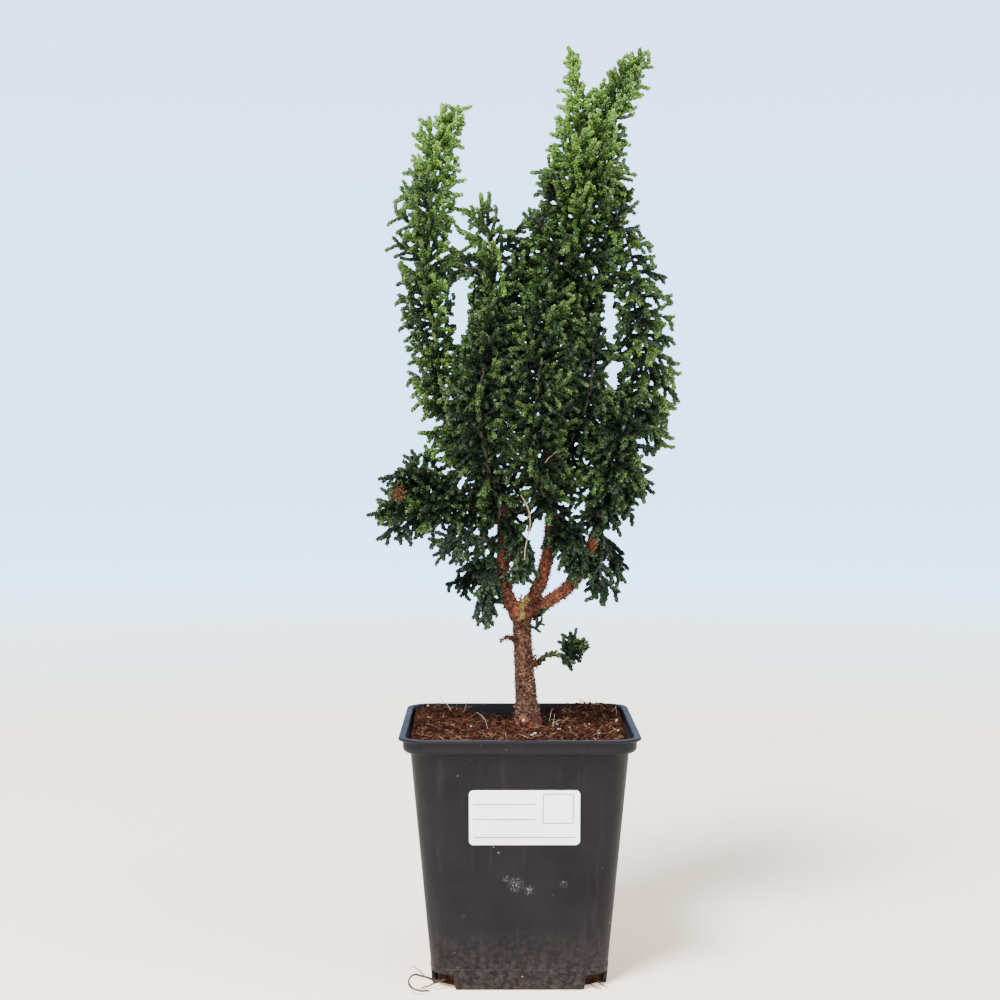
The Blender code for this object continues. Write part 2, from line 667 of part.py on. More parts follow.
def build_soil(parts, cutters):
    """The root ball: a block that fits the pot, with an uneven top and a plain hole for the trunk."""
    bm = bmesh.new()
    bmesh.ops.create_grid(bm, x_segments=SOIL_SQUARES, y_segments=SOIL_SQUARES, size=SOIL_HALF)
    rim = [edge for edge in bm.edges if edge.is_boundary]
    for vert in bm.verts:
        vert.co = soil_point(vert.co.x, vert.co.y)
    inside = WALL + SOIL_GAP
    levels = [
        (COLLAR_BOTTOM + SOIL_SHOULDER, SHOULDER_HALF - inside + SOIL_SHOULDER / 2),
        (COLLAR_BOTTOM - SOIL_SHOULDER, wall_half(COLLAR_BOTTOM - SOIL_SHOULDER) - inside),
        (inside, wall_half(inside) - inside),
    ]
    wide = SOIL_HALF
    for height, half in levels:
        grown = bmesh.ops.extrude_edge_only(bm, edges=rim)["geom"]
        for vert in [item for item in grown if isinstance(item, bmesh.types.BMVert)]:
            x, y = round_corner(vert.co.x * half / wide, vert.co.y * half / wide, half, SOIL_CORNER)
            vert.co = (x, y, height)
        rim = [item for item in grown if isinstance(item, bmesh.types.BMEdge) and item.is_boundary]
        wide = half
    bmesh.ops.edgeloop_fill(bm, edges=rim)
    bmesh.ops.recalc_face_normals(bm, faces=bm.faces)
    soil = object_from_bmesh("soil", bm, parts)
    depth = POT_HEIGHT - TRUNK_FOOT + 2 * SOIL_GAP
    bm = bmesh.new()
    bmesh.ops.create_cone(bm, segments=16, radius1=TRUNK_HOLE, radius2=TRUNK_HOLE, depth=depth, cap_ends=True)
    hole = object_from_bmesh("trunk_hole", bm, cutters)
    hole.location = (WOOD["trunk"].points[0][0], 0.0, TRUNK_FOOT - SOIL_GAP + depth / 2)
    cut(soil, hole)
    finish(soil, material("potting_soil", SOIL_COLOUR, 0.95))


def build_label(parts):
    """A bare sticker on the front wall, which leans outwards with the wall."""
    slope = math.atan2(SHOULDER_HALF - FOOT_HALF, COLLAR_BOTTOM)
    bm = bmesh.new()
    bmesh.ops.create_cube(bm, size=1.0)
    bmesh.ops.scale(bm, vec=(LABEL_WIDTH, LABEL_THICKNESS, LABEL_HEIGHT), verts=bm.verts)
    corners = [edge for edge in bm.edges if edge.verts[0].co.y != edge.verts[1].co.y]
    bmesh.ops.bevel(bm, geom=corners, offset=LABEL_CORNER, segments=4, profile=0.5,
                    affect="EDGES", material=-1)
    label = object_from_bmesh("label", bm, parts)
    x, z = LABEL_PLACE
    stand_off = (LABEL_GAP + LABEL_THICKNESS / 2) / math.cos(slope)
    label.location = (x, -wall_half(z) - stand_off, z)
    label.rotation_euler.x = slope
    finish(label, material("label_paper", LABEL_COLOUR, 0.6))


def wood_routes():
    return {name: Route(limb.points) for name, limb in WOOD.items()}


def stem_route(stem, routes):
    """The route of a leafy stem, which starts a hair off its parent and square to its surface."""
    parent = routes[stem.parent]
    foot, along = parent.at(stem.place), parent.tangent(stem.place)
    if stem.place == 1.0:
        start, out = foot + along * END_GAP, along
    else:
        toward = np.array(stem.points[0]) - foot
        out = unit(toward - along * np.dot(toward, along))
        radii = WOOD[stem.parent].radii if stem.parent in WOOD else CORE_RADII
        start = foot + out * (read_along(radii, stem.place) + SIDE_GAP)
    return Route([start, start + out * SQUARE_RUN, *stem.points])


def draw_spray(route, stem, index, attempt, rng):
    """The joints of a spray's cord, and the direction that its fan spreads to."""
    share = (index + 0.6) / stem.sprays
    along, side, other = frame_at(route, share)
    turn = index * GOLDEN_TURN + rng.uniform(-0.35, 0.35)
    lean = math.radians(read_along(stem.lean, share) + rng.uniform(-10, 10))
    reach = read_along(stem.reach, share) * rng.uniform(0.88, 1.12)
    if attempt:
        turn += rng.uniform(-0.9, 0.9)
        lean += rng.uniform(-0.3, 0.3)
        reach *= 1.0 - 0.06 * attempt
    away = side * math.cos(turn) + other * math.sin(turn)
    direction = unit(along * math.cos(lean) + away * math.sin(lean))
    length = reach / max(math.sin(lean), 0.5)
    count = max(1, round(length / JOINT_PITCH))
    joints = [route.at(share)]
    for joint in range(count):
        heading = unit(direction + np.array([0.0, 0.0, stem.lift * (joint + 0.5) / count]))
        joints.append(joints[-1] + heading * length / count)
    return joints, unit(np.cross(direction, along) + rng.uniform(-0.6, 0.6) * away)


def path_free(points, radius, name, occupied):
    """Whether a cord through these points has room beside the other pieces."""
    if min(point[2] for point in points) < LOWEST_SPRAY:
        return False
    return all(occupied.free(name, start, end, radius) for start, end in zip(points, points[1:]))


def draw_shoots(name, joints, spread, rng, occupied):
    """The tips of a spray's shoots that have room, by joint and side."""
    count = len(joints) - 1
    length = sum(np.linalg.norm(end - start) for start, end in zip(joints, joints[1:]))
    tips = {}
    for joint in range(count):
        along = unit(joints[joint + 1] - joints[joint])
        start = (joints[joint] + joints[joint + 1]) / 2
        share = read_along(SHOOT_SHARES, joint / count)
        reach = min(max(length * share, SHOOT_LENGTHS[0]), SHOOT_LENGTHS[1])
        for side, outward in enumerate(side_directions(along, spread)):
            lean = SHOOT_LEAN + rng.uniform(-0.2, 0.2)
            heading = unit(along * math.cos(lean) + outward * math.sin(lean))
            own_reach = reach * SIDE_REACH[side] * rng.uniform(0.8, 1.15)
            for shorter in (1.0, 0.7):
                tip = start + heading * own_reach * shorter
                if path_free([start, tip], SHOOT_RADIUS, name, occupied):
                    tips[joint, side] = tip
                    break
    return tips


def side_directions(along, spread):
    """The three ways that a spray's shoots stand out: two to the sides of its fan and one below it."""
    fan_normal = unit(np.cross(along, spread))
    across = np.cross(fan_normal, along)
    return [across * x + fan_normal * y for x, y in ((0.94, 0.34), (-0.94, 0.34), (0.0, -1.0))]


Spray = namedtuple("Spray", "joints spread tips")


def grow_spray(name, stem, index, route, occupied):
    """One spray, turned or shortened until its cord has room, or none."""
    rng = random.Random(f"{name} {index}")
    for attempt in range(TRIES):
        joints, spread = draw_spray(route, stem, index, attempt, rng)
        if path_free(joints, CORD_RADIUS, name, occupied):
            return Spray(joints, spread, draw_shoots(name, joints, spread, rng, occupied))
    return None


def grow_foliage(routes, occupied):
    """The sprays of every leafy stem, grown in turn from all the bases to all the tips."""
    order = sorted(
        ((index + 0.5) / stem.sprays, name, index)
        for name, stem in LEAFY_STEMS.items() for index in range(stem.sprays)
    )
    grown = {name: [] for name in LEAFY_STEMS}
    for _, name, index in order:
        spray = grow_spray(name, LEAFY_STEMS[name], index, routes[name], occupied)
        if spray is None:
            continue
        grown[name].append(spray)
        for start, end in zip(spray.joints, spray.joints[1:]):
            occupied.add(name, start, end, CORD_RADIUS)
        for (joint, _), tip in spray.tips.items():
            occupied.add(name, (spray.joints[joint] + spray.joints[joint + 1]) / 2, tip, SHOOT_RADIUS)
    return grown


def spray_object(name, spray, collection):
    """A three-sided cord, with a shoot drawn out of the side faces of its joints."""
    joints, spread = spray.joints, spray.spread
    along = unit(joints[1] - joints[0])
    fan_normal = unit(np.cross(along, spread))
    across = np.cross(fan_normal, along)
    turn = Matrix([across, fan_normal, along]).transposed().to_4x4()
    bm = bmesh.new()
    bmesh.ops.create_circle(bm, segments=3, radius=CORD_ROOT)
    bmesh.ops.transform(bm, matrix=Matrix.Translation(joints[0]) @ turn, verts=bm.verts)
    rim, radius = list(bm.edges), CORD_ROOT
    count = len(joints) - 1
    for joint in range(count):
        last = joint == count - 1
        grown = bmesh.ops.extrude_edge_only(bm, edges=rim)["geom"]
        verts = [item for item in grown if isinstance(item, bmesh.types.BMVert)]
        next_radius = CORD_RADIUS * (1 - (1 - CORD_TAPER) * joint / count)
        place = joints[joint + 1] if not last else (joints[joint] + joints[joint + 1]) / 2
        for vert in verts:
            vert.co = Vector(place) + (vert.co - Vector(joints[joint])) * (next_radius / radius)
        for face in [item for item in grown if isinstance(item, bmesh.types.BMFace)]:
            pull_shoot(bm, face, spray, joint, side_directions(along, spread))
        rim = [item for item in grown if isinstance(item, bmesh.types.BMEdge) and item.is_boundary]
        radius = next_radius
    end = bmesh.ops.edgeloop_fill(bm, edges=rim)["faces"]
    bmesh.ops.poke(bm, faces=end)["verts"][0].co = Vector(joints[-1])
    bmesh.ops.holes_fill(bm, edges=bm.edges)
    bmesh.ops.recalc_face_normals(bm, faces=bm.faces)
    return object_from_bmesh(name, bm, collection)


def pull_shoot(bm, face, spray, joint, outwards):
    """Draws a joint's side face out to the tip of the shoot that grows there, where there is one."""
    middle = Vector((spray.joints[joint] + spray.joints[joint + 1]) / 2)
    off_middle = face.calc_center_median() - middle
    side = max(range(len(outwards)), key=lambda number: off_middle.dot(Vector(outwards[number])))
    if (joint, side) in spray.tips:
        bmesh.ops.poke(bm, faces=[face])["verts"][0].co = Vector(spray.tips[joint, side])


def build_leafy_stem(name, route, grown, parts, look):
    core = tube(name, route, CORE_RADII, CORE_STEP, 0, parts)
    sprays = new_collection(name + " sprays")
    for number, spray in enumerate(grown):
        spray_object(f"{name}_spray_{number}", spray, sprays)
    fuse(core, sprays)
    finish(core, look)


def grow_spurs(routes, occupied):
    """Spurs that lean up along the limbs where no leafy stem starts."""
    spurs = []
    for name, count in SPURS.items():
        route, radii = routes[name], WOOD[name].radii
        low, high = SPUR_SHARES[name]
        rng = random.Random(name + " spurs")
        for index in range(count):
            share = low + (high - low) * (index + rng.uniform(0.0, 1.0)) / count
            along, side, other = frame_at(route, share)
            turn = index * GOLDEN_TURN + rng.uniform(-0.4, 0.4)
            away = side * math.cos(turn) + other * math.sin(turn)
            radius = read_along(radii, share)
            foot = route.at(share) + away * radius * SPUR_SINK
            heading = unit(away + along * rng.uniform(0.3, 1.0))
            length = SPUR_LENGTH * rng.uniform(0.7, 1.15) + radius * (1.0 - SPUR_SINK)
            tip = foot + heading * length
            if occupied.free("wood", foot, tip, SPUR_RADIUS):
                occupied.add("wood", foot, tip, SPUR_RADIUS)
                spurs.append((foot, tip, rng.uniform(0.0, math.tau)))
    return spurs


def build_wood(routes, spurs, parts):
    """Trunk, limbs, twigs, the knob by the soil and the spurs, all one grown piece."""
    wood = tube("trunk_and_limbs", routes["trunk"], WOOD["trunk"].radii, WOOD_STEP, 2, parts)
    grown = new_collection("limbs")
    for name, limb in WOOD.items():
        if limb.parent:
            tube(name, routes[name], limb.radii, WOOD_STEP, 1, grown)
    bm = bmesh.new()
    bmesh.ops.create_icosphere(bm, subdivisions=1, radius=KNOB_RADIUS)
    bmesh.ops.translate(bm, vec=KNOB_PLACE, verts=bm.verts)
    object_from_bmesh("knob", bm, grown)
    for number, (foot, tip, roll) in enumerate(spurs):
        thorn_object(f"spur_{number}", foot, tip, SPUR_RADIUS, roll, grown)
    fuse(wood, grown)
    finish(wood, material("bark", WOOD_COLOUR, 0.85))


def main():
    clear_scene()
    parts = new_collection("hinoki_cypress_bonsai")
    cutters = new_collection("cutters")
    build_pot(parts, cutters)
    build_soil(parts, cutters)
    build_label(parts)

    routes = wood_routes()
    occupied = Occupied()
    for name, limb in WOOD.items():
        occupied.add_route("wood", routes[name], limb.radii, WOOD_STEP)
    for name, stem in LEAFY_STEMS.items():
        routes[name] = stem_route(stem, routes)
        occupied.add_route(name, routes[name], CORE_RADII, CORE_STEP)
    build_wood(routes, grow_spurs(routes, occupied), parts)

    foliage = grow_foliage(routes, occupied)
    green = material("foliage", LEAF_COLOUR, 0.6)
    young = material("young_foliage", YOUNG_LEAF_COLOUR, 0.6)
    for name, sprays in foliage.items():
        build_leafy_stem(name, routes[name], sprays, parts, young if name == "fork_buds" else green)


main()
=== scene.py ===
"""The looks of a hinoki cypress bonsai in its nursery pot, laid out as a Blender add-on and run as a script.

Sizes are in metres, +Z is up and the front is towards -Y, as in the part's solids. Each leafy stem is grown
again over its solid with many more sprays, and each spray is put together from short leafy cords.
"""

import json
import math
import random
from collections import namedtuple

import bmesh
import bpy
import numpy as np
from bpy.props import FloatProperty, FloatVectorProperty, IntProperty, PointerProperty
from mathutils import Matrix, Vector, noise

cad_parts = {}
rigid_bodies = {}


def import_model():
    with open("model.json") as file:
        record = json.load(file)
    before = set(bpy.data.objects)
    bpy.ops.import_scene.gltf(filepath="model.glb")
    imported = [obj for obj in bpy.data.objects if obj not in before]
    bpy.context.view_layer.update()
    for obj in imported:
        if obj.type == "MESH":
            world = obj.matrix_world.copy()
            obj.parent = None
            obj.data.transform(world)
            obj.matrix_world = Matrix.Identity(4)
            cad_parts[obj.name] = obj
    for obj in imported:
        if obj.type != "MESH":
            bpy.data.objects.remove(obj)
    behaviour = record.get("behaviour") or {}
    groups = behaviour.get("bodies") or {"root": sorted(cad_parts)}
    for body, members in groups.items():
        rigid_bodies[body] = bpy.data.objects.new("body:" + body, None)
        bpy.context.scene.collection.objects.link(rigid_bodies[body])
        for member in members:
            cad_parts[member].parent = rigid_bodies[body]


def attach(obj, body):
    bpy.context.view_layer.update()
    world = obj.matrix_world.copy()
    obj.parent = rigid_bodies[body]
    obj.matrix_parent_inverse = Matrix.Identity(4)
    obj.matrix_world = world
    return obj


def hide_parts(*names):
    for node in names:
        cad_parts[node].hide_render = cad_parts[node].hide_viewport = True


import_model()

bl_info = {
    "name": "Hinoki Cypress Bonsai",
    "version": (1, 0, 0),
    "blender": (4, 5, 0),
    "location": "3D View > Sidebar > Bonsai",
    "description": "Models and finishes a potted hinoki cypress bonsai",
    "category": "Object",
}

# Pot
POT_HEIGHT = 0.117
WALL = 0.0012
FOOT_HALF = 0.0402
SHOULDER_HALF = 0.0499
COLLAR_HALF = 0.0531
LIP_HALF = 0.055
COLLAR_BOTTOM = 0.1095
COLLAR_ROUND = 0.003
LIP_THICKNESS = 0.0013
FOOT_CORNER = 0.0135
COLLAR_CORNER = 0.0115
CORNER_STEPS = 9
NOTCH_INNER = 0.028
NOTCH_FLARE = 0.0025
NOTCH_HEIGHT = 0.0068
MOULD_LINE = 0.0095  # height of the faint step that the mould left near the foot
PAD_SIZE = (0.030, 0.0017, 0.0050)
PAD_PLACE = (0.0044, 0.05165, 0.1127)

# Label
LABEL_WIDTH = 0.050
LABEL_HEIGHT = 0.0254
LABEL_THICKNESS = 0.0002
LABEL_CORNER = 0.002
LABEL_GAP = 0.00015
LABEL_PLACE = (0.002, 0.081)
RULE_THICKNESS = 0.00035
BOX_SIDE = 0.0135

# Soil
SOIL_LEVEL = 0.1135
SOIL_HALF = 0.0504
SOIL_CORNER = 0.0117
SOIL_SQUARES = 115
SOIL_MOUNDS = [  # x, y, radius, height
    (-0.040, 0.036, 0.018, 0.0030),
    (0.037, 0.038, 0.018, 0.0026),
    (0.002, 0.032, 0.014, -0.0055),
    (0.000, -0.046, 0.022, 0.0008),
    (0.0045, 0.000, 0.013, 0.0010),
]

TRUNK_FOOT = 0.098

# Wood: parent, share of the parent's length where it starts, points and radii
Limb = namedtuple("Limb", "parent place points radii")
WOOD = {
    "trunk": Limb(
        None, 0.0,
        [(0.0046, 0.0, TRUNK_FOOT), (0.0046, 0.0, 0.112), (0.0039, 0.0, 0.122), (0.0029, 0.0, 0.138),
         (0.0019, 0.0, 0.155), (0.0012, 0.0, 0.172)],
        [0.0055, 0.0068, 0.0050, 0.0044, 0.0042, 0.0046],
    ),
    "limb_left": Limb(
        "trunk", 1.0,
        [(-0.0005, 0.0, 0.168), (-0.006, -0.001, 0.178), (-0.0075, -0.002, 0.192), (-0.007, -0.002, 0.208),
         (-0.009, -0.001, 0.224), (-0.012, 0.0, 0.240), (-0.015, 0.001, 0.256), (-0.017, 0.001, 0.270)],
        [0.0033, 0.0032, 0.0029, 0.0026, 0.0023, 0.0020, 0.0017, 0.0015],
    ),
    "limb_centre": Limb(
        "trunk", 1.0,
        [(0.0015, 0.0, 0.168), (0.008, 0.001, 0.178), (0.0122, 0.001, 0.189), (0.0145, 0.001, 0.202),
         (0.016, 0.002, 0.218), (0.018, 0.003, 0.238), (0.020, 0.003, 0.262), (0.021, 0.002, 0.286),
         (0.023, 0.001, 0.306)],
        [0.0033, 0.0031, 0.0028, 0.0026, 0.0024, 0.0022, 0.0020, 0.0018, 0.0016],
    ),
    "limb_right": Limb(
        "trunk", 1.0,
        [(0.003, 0.0, 0.1675), (0.0145, -0.001, 0.1745), (0.0235, -0.002, 0.181), (0.0298, -0.002, 0.190),
         (0.035, -0.001, 0.203), (0.041, 0.0, 0.219), (0.048, 0.001, 0.237), (0.054, 0.001, 0.256)],
        [0.0032, 0.0029, 0.0026, 0.0024, 0.0022, 0.0020, 0.0018, 0.0016],
    ),
    "green_twig": Limb(
        "trunk", 0.6,
        [(0.0025, -0.001, 0.141), (0.008, -0.003, 0.1445), (0.0123, -0.004, 0.1483),
         (0.0161, -0.005, 0.1497), (0.0203, -0.005, 0.1488)],
        [0.0012, 0.0010, 0.0009, 0.0008, 0.0007],
    ),
    "dead_twig": Limb(
        "trunk", 0.8,
        [(0.0, -0.001, 0.1545), (-0.0050, -0.002, 0.1573), (-0.0090, -0.003, 0.1556)],
        [0.0010, 0.0008, 0.0005],
    ),
}
KNOB_PLACE = (0.0025, -0.0060, 0.1178)
KNOB_RADIUS = 0.0024

# Leafy stems: parent, share of the parent's length where it starts, further points, reach of the sprays
# from base to tip, their lean from the stem in degrees, the number of sprays, and how far they turn up
LeafyStem = namedtuple("LeafyStem", "parent place points reach lean sprays lift", defaults=(0.35,))
LEAFY_STEMS = {
    "left_column": LeafyStem(
        "limb_left", 0.72,
        [(-0.02, -0.002, 0.236), (-0.029, -0.004, 0.25), (-0.035, -0.005, 0.268), (-0.0385, -0.005, 0.29),
         (-0.041, -0.004, 0.311), (-0.042, -0.004, 0.332), (-0.042, -0.003, 0.352), (-0.04, -0.002, 0.37),
         (-0.0375, -0.001, 0.386), (-0.0345, 0.0, 0.395), (-0.032, 0.0, 0.400)],
        [0.012, 0.014, 0.013, 0.013, 0.013, 0.013, 0.013, 0.013, 0.012, 0.01, 0.006],
        [75, 72, 66, 60, 54, 42], 66,
    ),
    "left_frond": LeafyStem(
        "limb_left", 1.0,
        [(-0.014, -0.002, 0.288), (-0.0105, -0.004, 0.308), (-0.011, -0.004, 0.324), (-0.0135, -0.004, 0.34),
         (-0.016, -0.004, 0.351), (-0.017, -0.003, 0.357)],
        [0.011, 0.012, 0.013, 0.017, 0.016, 0.012, 0.006], [65, 60, 55, 48], 26,
    ),
    "left_bridge": LeafyStem(
        "left_frond", 0.52,
        [(-0.018, -0.008, 0.329), (-0.025, -0.008, 0.331), (-0.031, -0.006, 0.328)],
        [0.005, 0.006, 0.006], [60, 50], 7,
    ),
    "centre_leader": LeafyStem(
        "limb_centre", 1.0,
        [(0.0245, 0.0, 0.325), (0.027, 0.0, 0.345), (0.0305, 0.0, 0.364), (0.035, -0.001, 0.382),
         (0.039, -0.002, 0.397), (0.044, -0.002, 0.407), (0.05, -0.002, 0.416), (0.055, -0.003, 0.425)],
        [0.02, 0.021, 0.019, 0.018, 0.017, 0.013, 0.011, 0.009, 0.005], [70, 65, 60, 52, 42], 66,
    ),
    "second_tip": LeafyStem(
        "centre_leader", 0.46,
        [(0.027, -0.006, 0.374), (0.0265, -0.005, 0.388), (0.0275, -0.003, 0.402), (0.0275, -0.002, 0.416),
         (0.027, -0.002, 0.426)],
        [0.011, 0.011, 0.01, 0.008, 0.006, 0.0045], [60, 55, 40], 24,
    ),
    "centre_left_low": LeafyStem(
        "centre_leader", 0.14,
        [(0.017, -0.005, 0.334), (0.012, -0.006, 0.345), (0.009, -0.006, 0.354)],
        [0.011, 0.01, 0.008, 0.005], [60, 50], 12,
    ),
    "centre_left_high": LeafyStem(
        "centre_leader", 0.34,
        [(0.022, -0.003, 0.356), (0.017, -0.004, 0.365), (0.015, -0.004, 0.373)],
        [0.01, 0.01, 0.008, 0.005], [60, 50], 9,
    ),
    "centre_right": LeafyStem(
        "centre_leader", 0.42,
        [(0.038, 0.005, 0.366), (0.044, 0.007, 0.372), (0.047, 0.006, 0.367)],
        [0.009, 0.009, 0.007], [60, 50], 7,
    ),
    "right_column": LeafyStem(
        "limb_right", 1.0,
        [(0.058, 0.0, 0.273), (0.0605, -0.001, 0.29), (0.059, -0.002, 0.308), (0.056, -0.002, 0.324),
         (0.052, -0.002, 0.34), (0.048, -0.002, 0.352), (0.0445, -0.001, 0.36)],
        [0.018, 0.018, 0.016, 0.014, 0.013, 0.012, 0.01, 0.006], [85, 80, 72, 60], 46, -0.25,
    ),
    "crown_front_left": LeafyStem(
        "limb_left", 0.46,
        [(-0.011, -0.009, 0.226), (-0.015, -0.017, 0.24), (-0.018, -0.021, 0.26), (-0.017, -0.02, 0.28),
         (-0.013, -0.016, 0.3), (-0.009, -0.013, 0.316)],
        [0.012, 0.015, 0.016, 0.016, 0.015, 0.013, 0.009], [85, 75, 65, 55], 40,
    ),
    "crown_front_mid": LeafyStem(
        "limb_centre", 0.4,
        [(0.013, -0.009, 0.222), (0.008, -0.018, 0.238), (0.007, -0.023, 0.258), (0.009, -0.022, 0.28),
         (0.012, -0.017, 0.3), (0.014, -0.013, 0.318)],
        [0.013, 0.016, 0.017, 0.017, 0.016, 0.014, 0.009], [85, 75, 65, 55], 42,
    ),
    "crown_front_right": LeafyStem(
        "limb_centre", 0.54,
        [(0.025, -0.009, 0.252), (0.031, -0.016, 0.266), (0.034, -0.018, 0.284), (0.034, -0.014, 0.302)],
        [0.013, 0.015, 0.015, 0.014, 0.009], [80, 70, 60], 26,
    ),
    "crown_low_right": LeafyStem(
        "limb_right", 0.56,
        [(0.04, -0.01, 0.226), (0.046, -0.015, 0.24), (0.05, -0.016, 0.256), (0.048, -0.012, 0.27)],
        [0.011, 0.014, 0.015, 0.014, 0.009], [85, 80, 70], 22,
    ),
    "crown_left": LeafyStem(
        "limb_left", 0.83,
        [(-0.021, 0.008, 0.26), (-0.027, 0.01, 0.273), (-0.026, 0.009, 0.29), (-0.023, 0.007, 0.305),
         (-0.021, 0.005, 0.318)],
        [0.012, 0.013, 0.013, 0.012, 0.011, 0.007], [75, 65, 55], 26,
    ),
    "crown_mid": LeafyStem(
        "limb_left", 0.92,
        [(-0.009, 0.007, 0.28), (-0.001, 0.006, 0.298), (0.003, 0.005, 0.316), (0.004, 0.003, 0.332),
         (0.002, 0.002, 0.343)],
        [0.013, 0.014, 0.014, 0.012, 0.009, 0.005], [70, 60, 50], 28,
    ),
    "crown_back_left": LeafyStem(
        "limb_left", 0.36,
        [(-0.01, 0.009, 0.218), (-0.014, 0.017, 0.234), (-0.016, 0.022, 0.256), (-0.014, 0.021, 0.279),
         (-0.01, 0.017, 0.3)],
        [0.012, 0.015, 0.015, 0.015, 0.013, 0.009], [85, 75, 60], 32,
    ),
    "crown_back_mid": LeafyStem(
        "limb_centre", 0.44,
        [(0.016, 0.012, 0.228), (0.014, 0.02, 0.244), (0.014, 0.025, 0.266), (0.017, 0.023, 0.286),
         (0.021, 0.017, 0.306), (0.024, 0.013, 0.322)],
        [0.013, 0.015, 0.016, 0.016, 0.014, 0.012, 0.008], [85, 75, 60], 36,
    ),
    "crown_back_right": LeafyStem(
        "limb_centre", 0.58,
        [(0.027, 0.012, 0.264), (0.033, 0.017, 0.281), (0.036, 0.016, 0.298), (0.037, 0.012, 0.314)],
        [0.012, 0.014, 0.014, 0.012, 0.008], [75, 65, 55], 22,
    ),
    "crown_low_back": LeafyStem(
        "limb_right", 0.72,
        [(0.044, 0.011, 0.236), (0.047, 0.016, 0.252), (0.048, 0.014, 0.27)],
        [0.011, 0.012, 0.012, 0.008], [85, 70], 16,
    ),
    "crown_right": LeafyStem(
        "limb_centre", 0.88,
        [(0.032, 0.0, 0.302), (0.037, -0.001, 0.316), (0.038, 0.0, 0.33)],
        [0.008, 0.009, 0.008, 0.006], [65, 55], 10,
    ),
    "low_left_arm": LeafyStem(
        "limb_left", 0.56,
        [(-0.021, -0.006, 0.219), (-0.033, -0.008, 0.22), (-0.043, -0.008, 0.226), (-0.051, -0.008, 0.235)],
        [0.008, 0.01, 0.013, 0.014, 0.01], [75, 70, 60], 20,
    ),
    "low_left_fork": LeafyStem(
        "low_left_arm", 0.5,
        [(-0.042, -0.012, 0.217), (-0.052, -0.013, 0.215), (-0.06, -0.012, 0.219)],
        [0.009, 0.011, 0.011, 0.007], [70, 50], 12,
    ),
    "skirt_left": LeafyStem(
        "limb_left", 0.3,
        [(-0.016, -0.007, 0.204), (-0.025, -0.012, 0.206), (-0.033, -0.012, 0.202)],
        [0.008, 0.009, 0.009, 0.008], [70, 50], 12, -0.35,
    ),
    "skirt_front": LeafyStem(
        "limb_left", 0.16,
        [(-0.011, -0.009, 0.189), (-0.014, -0.013, 0.182), (-0.016, -0.014, 0.174)],
        [0.007, 0.008, 0.008, 0.006], [60, 40], 10, -0.35,
    ),
    "skirt_back": LeafyStem(
        "limb_left", 0.22,
        [(-0.012, 0.007, 0.194), (-0.02, 0.011, 0.191), (-0.027, 0.012, 0.184)],
        [0.008, 0.009, 0.009, 0.007], [70, 50], 10, -0.35,
    ),
    "skirt_mid": LeafyStem(
        "limb_left", 0.42,
        [(-0.002, -0.007, 0.209), (0.001, -0.011, 0.201), (0.001, -0.013, 0.192)],
        [0.007, 0.008, 0.008, 0.006], [65, 45], 10, -0.35,
    ),
    "skirt_centre": LeafyStem(
        "limb_centre", 0.29,
        [(0.021, -0.008, 0.207), (0.025, -0.012, 0.202), (0.028, -0.013, 0.193)],
        [0.008, 0.01, 0.01, 0.007], [70, 50], 11, -0.35,
    ),
    "skirt_centre_back": LeafyStem(
        "limb_centre", 0.35,
        [(0.02, 0.01, 0.213), (0.024, 0.014, 0.208), (0.027, 0.016, 0.2)],
        [0.008, 0.009, 0.009, 0.007], [70, 50], 10, -0.35,
    ),
    "skirt_right": LeafyStem(
        "limb_right", 0.4,
        [(0.036, -0.007, 0.197), (0.038, -0.01, 0.189), (0.04, -0.01, 0.181)],
        [0.007, 0.008, 0.008, 0.006], [65, 45], 10, -0.35,
    ),
    "skirt_right_back": LeafyStem(
        "limb_right", 0.47,
        [(0.04, 0.007, 0.205), (0.044, 0.01, 0.199), (0.047, 0.01, 0.191)],
        [0.007, 0.008, 0.008, 0.006], [65, 45], 9, -0.35,
    ),
    "skirt_outer": LeafyStem(
        "limb_right", 0.64,
        [(0.049, -0.003, 0.229), (0.054, -0.005, 0.235), (0.057, -0.006, 0.233)],
        [0.008, 0.009, 0.008, 0.006], [70, 50], 9, -0.35,
    ),
    "twig_tuft": LeafyStem(
        "green_twig", 1.0,
        [(0.0240, -0.005, 0.1500), (0.0265, -0.005, 0.1535)],
        [0.005, 0.0065, 0.005], [65, 45], 9,
    ),
    "fork_buds": LeafyStem(
        "trunk", 0.93,
        [(0.0015, -0.0085, 0.172), (0.0025, -0.0100, 0.1765)],
        [0.003, 0.004, 0.004], [60, 40], 7,
    ),
    "fork_tuft": LeafyStem(
        "trunk", 0.86,
        [(0.0085, -0.003, 0.1665), (0.0105, -0.004, 0.1690)],
        [0.003, 0.004, 0.003], [60, 40], 5,
    ),
}
END_GAP = 0.00035
SIDE_GAP = 0.0013
SQUARE_RUN = 0.0022
CORE_RADII = (0.0012, 0.0006)
JOINT_PITCH = 0.0050
SHOOT_SHARES = (0.85, 0.36)
SHOOT_LENGTHS = (0.0052, 0.0112)
SHOOT_LEAN = math.radians(37)
GOLDEN_TURN = math.radians(137.5)

# Leafy cords: a three-sided core with a scale leaf drawn out of each side face
WHORL_PITCH = 0.00112
CORD_CORE = 0.00118
LEAF_OUT = 0.00156  # how far a leaf's tip stands from the cord's middle
LEAF_FORWARD = 0.00110
CORD_RINGS = (3, 4, 5)
CORD_BENDS = (-0.16, 0.05, 0.22)
NODE_PITCH = 0.0030  # between the shoots of a spray
FULLNESS = 1.6  # sprays on a stem for each one on its solid


